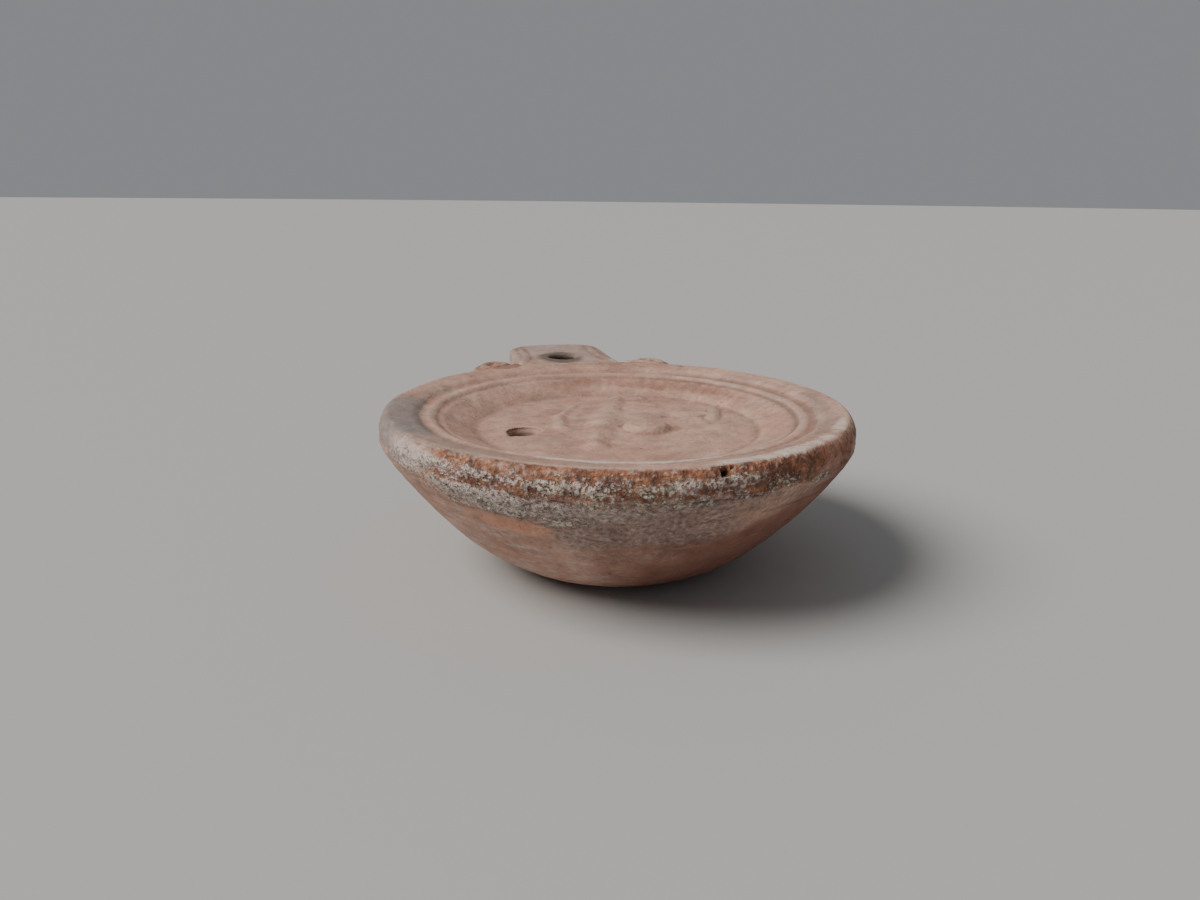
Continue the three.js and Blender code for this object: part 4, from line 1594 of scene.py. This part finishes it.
@dataclass
class OilLamp:
    """The whole lamp, joined as one piece of fired clay and dressed."""

    body: LampBody = field(default_factory=LampBody)
    nozzle: Nozzle = field(default_factory=Nozzle)
    volutes: tuple[Volute, Volute] = (Volute(1), Volute(-1))
    relief: FighterRelief = field(default_factory=FighterRelief)
    filling_hole: Hole = field(
        default_factory=lambda: Hole((-15.29, -0.53), 2.62, 21.7, 16.0, flare=0.25, seed=3)
    )
    wick_hole: Hole = field(
        default_factory=lambda: Hole((0.0, 48.0), 2.85, 24.8, 19.0, flare=0.4, seed=8, shade_and_soot=1.0)
    )

    def form(self) -> tuple[bpy.types.Object, BVHTree]:
        """Joins the forms and hollows them out.

        Returns:
            The lamp, and the surface of its hollow.
        """
        lamp = self.body.build()
        for part in (self.nozzle.build(), *(volute.build() for volute in self.volutes)):
            carve(lamp, part, Cut.JOIN)
        hollow = self.body.chamber()
        carve(hollow, self.nozzle.build(inset=self.body.wall, fine=0.8), Cut.JOIN)
        inner = BVHTree.FromObject(hollow, bpy.context.evaluated_depsgraph_get())
        carve(lamp, hollow, Cut.REMOVE)
        for hole in (self.filling_hole, self.wick_hole):
            carve(lamp, hole.build(), Cut.REMOVE)
        return lamp, inner

    def build(self) -> bpy.types.Object:
        """Returns the finished lamp, which rides on the frame in place of its plain solid.

        Returns:
            The lamp.
        """
        lamp, inner = self.form()
        holes = (self.filling_hole, self.wick_hole)
        skin = LampSkin(lamp, self.body, self.volutes, self.relief, holes)
        skin.read(inner)
        skin.soften()
        skin.survey()
        masks = skin.paint()
        skin.shape(masks)
        skin.hollows(masks)
        grain = clay_grain_group()
        lamp.data.materials.clear()
        lamp.data.materials.append(WeatheredClay().material(ragged_mask_group(), grain))
        lamp.data.materials.append(ChamberClay().material(grain))
        skin.write(masks)
        lamp.name = "lamp_clay"
        lamp.data.name = "lamp_clay"
        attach(lamp, "root")
        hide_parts("lamp_body")
        return lamp


@dataclass(frozen=True)
class SoftLight:
    """A wide soft light from far away: its bearing and height in degrees, its softness and its strength."""

    name: str
    bearing: float
    elevation: float
    softness: float
    strength: float
    colour: Triple = (1.0, 1.0, 1.0)

    def build(self) -> None:
        """Hangs the light, turned to the lamp."""
        lamp = bpy.data.lights.new(self.name, "SUN")
        lamp.angle = math.radians(self.softness)
        lamp.energy = self.strength
        lamp.color = self.colour
        made = bpy.data.objects.new(self.name, lamp)
        turn, rise = math.radians(self.bearing), math.radians(self.elevation)
        away = Vector((math.cos(turn) * math.cos(rise), math.sin(turn) * math.cos(rise), math.sin(rise)))
        made.location = away
        made.rotation_euler = away.to_track_quat("Z", "Y").to_euler()
        bpy.context.scene.collection.objects.link(made)


@dataclass(frozen=True)
class Studio:
    """The plain pale floor, the soft light and the camera at the photo's viewing angle."""

    floor_radius: float = 6.0
    floor: Colour = clay(182, 180, 177)
    sky: Colour = clay(214, 218, 222)
    sky_strength: float = 0.36
    lights: tuple[SoftLight, ...] = (SoftLight("key_light", 186.0, 46.0, 34.0, 3.4, (1.0, 0.985, 0.96)),)
    eye: Triple = (-0.0342, -0.1386, 0.0584)
    heading: float = -12.8
    pitch: float = 74.04
    roll: float = 0.61
    lens: float = 27.0

    def build(self) -> None:
        """Lays the floor, hangs the lights, sets the world and places the camera."""
        mesh = bpy.data.meshes.new("floor")
        work = bmesh.new()
        bmesh.ops.create_circle(work, cap_ends=True, segments=96, radius=self.floor_radius)
        work.to_mesh(mesh)
        work.free()
        floor = bpy.data.objects.new("floor", mesh)
        bpy.context.scene.collection.objects.link(floor)
        material = bpy.data.materials.new("pale_floor")
        material.use_nodes = True
        shader = material.node_tree.nodes["Principled BSDF"]
        shader.inputs["Base Color"].default_value = self.floor
        shader.inputs["Roughness"].default_value = 0.75
        mesh.materials.append(material)
        for light in self.lights:
            light.build()
        world = bpy.data.worlds.new("studio")
        world.use_nodes = True
        background = world.node_tree.nodes["Background"]
        background.inputs["Color"].default_value = self.sky
        background.inputs["Strength"].default_value = self.sky_strength
        bpy.context.scene.world = world
        self._camera()

    def _camera(self) -> None:
        """Places the camera."""
        data = bpy.data.cameras.new("photo_camera")
        data.lens = self.lens
        data.sensor_width = 36.0
        data.clip_start = 0.01
        camera = bpy.data.objects.new("photo_camera", data)
        turned = Matrix.Rotation(math.radians(self.heading), 4, "Z")
        tilted = Matrix.Rotation(math.radians(self.pitch), 4, "X")
        rolled = Matrix.Rotation(math.radians(self.roll), 4, "Z")
        camera.matrix_world = Matrix.Translation(self.eye) @ turned @ tilted @ rolled
        bpy.context.scene.collection.objects.link(camera)
        bpy.context.scene.camera = camera


def main() -> None:
    """Builds the lamp, then its studio."""
    logging.basicConfig(level=logging.INFO, format="%(message)s")
    lamp = OilLamp().build()
    lamp.data.calc_loop_triangles()
    log.info("%s: %d triangles", lamp.name, len(lamp.data.loop_triangles))
    Studio().build()
    log.info("studio: floor, lights and camera")


if __name__ == "__main__":
    main()
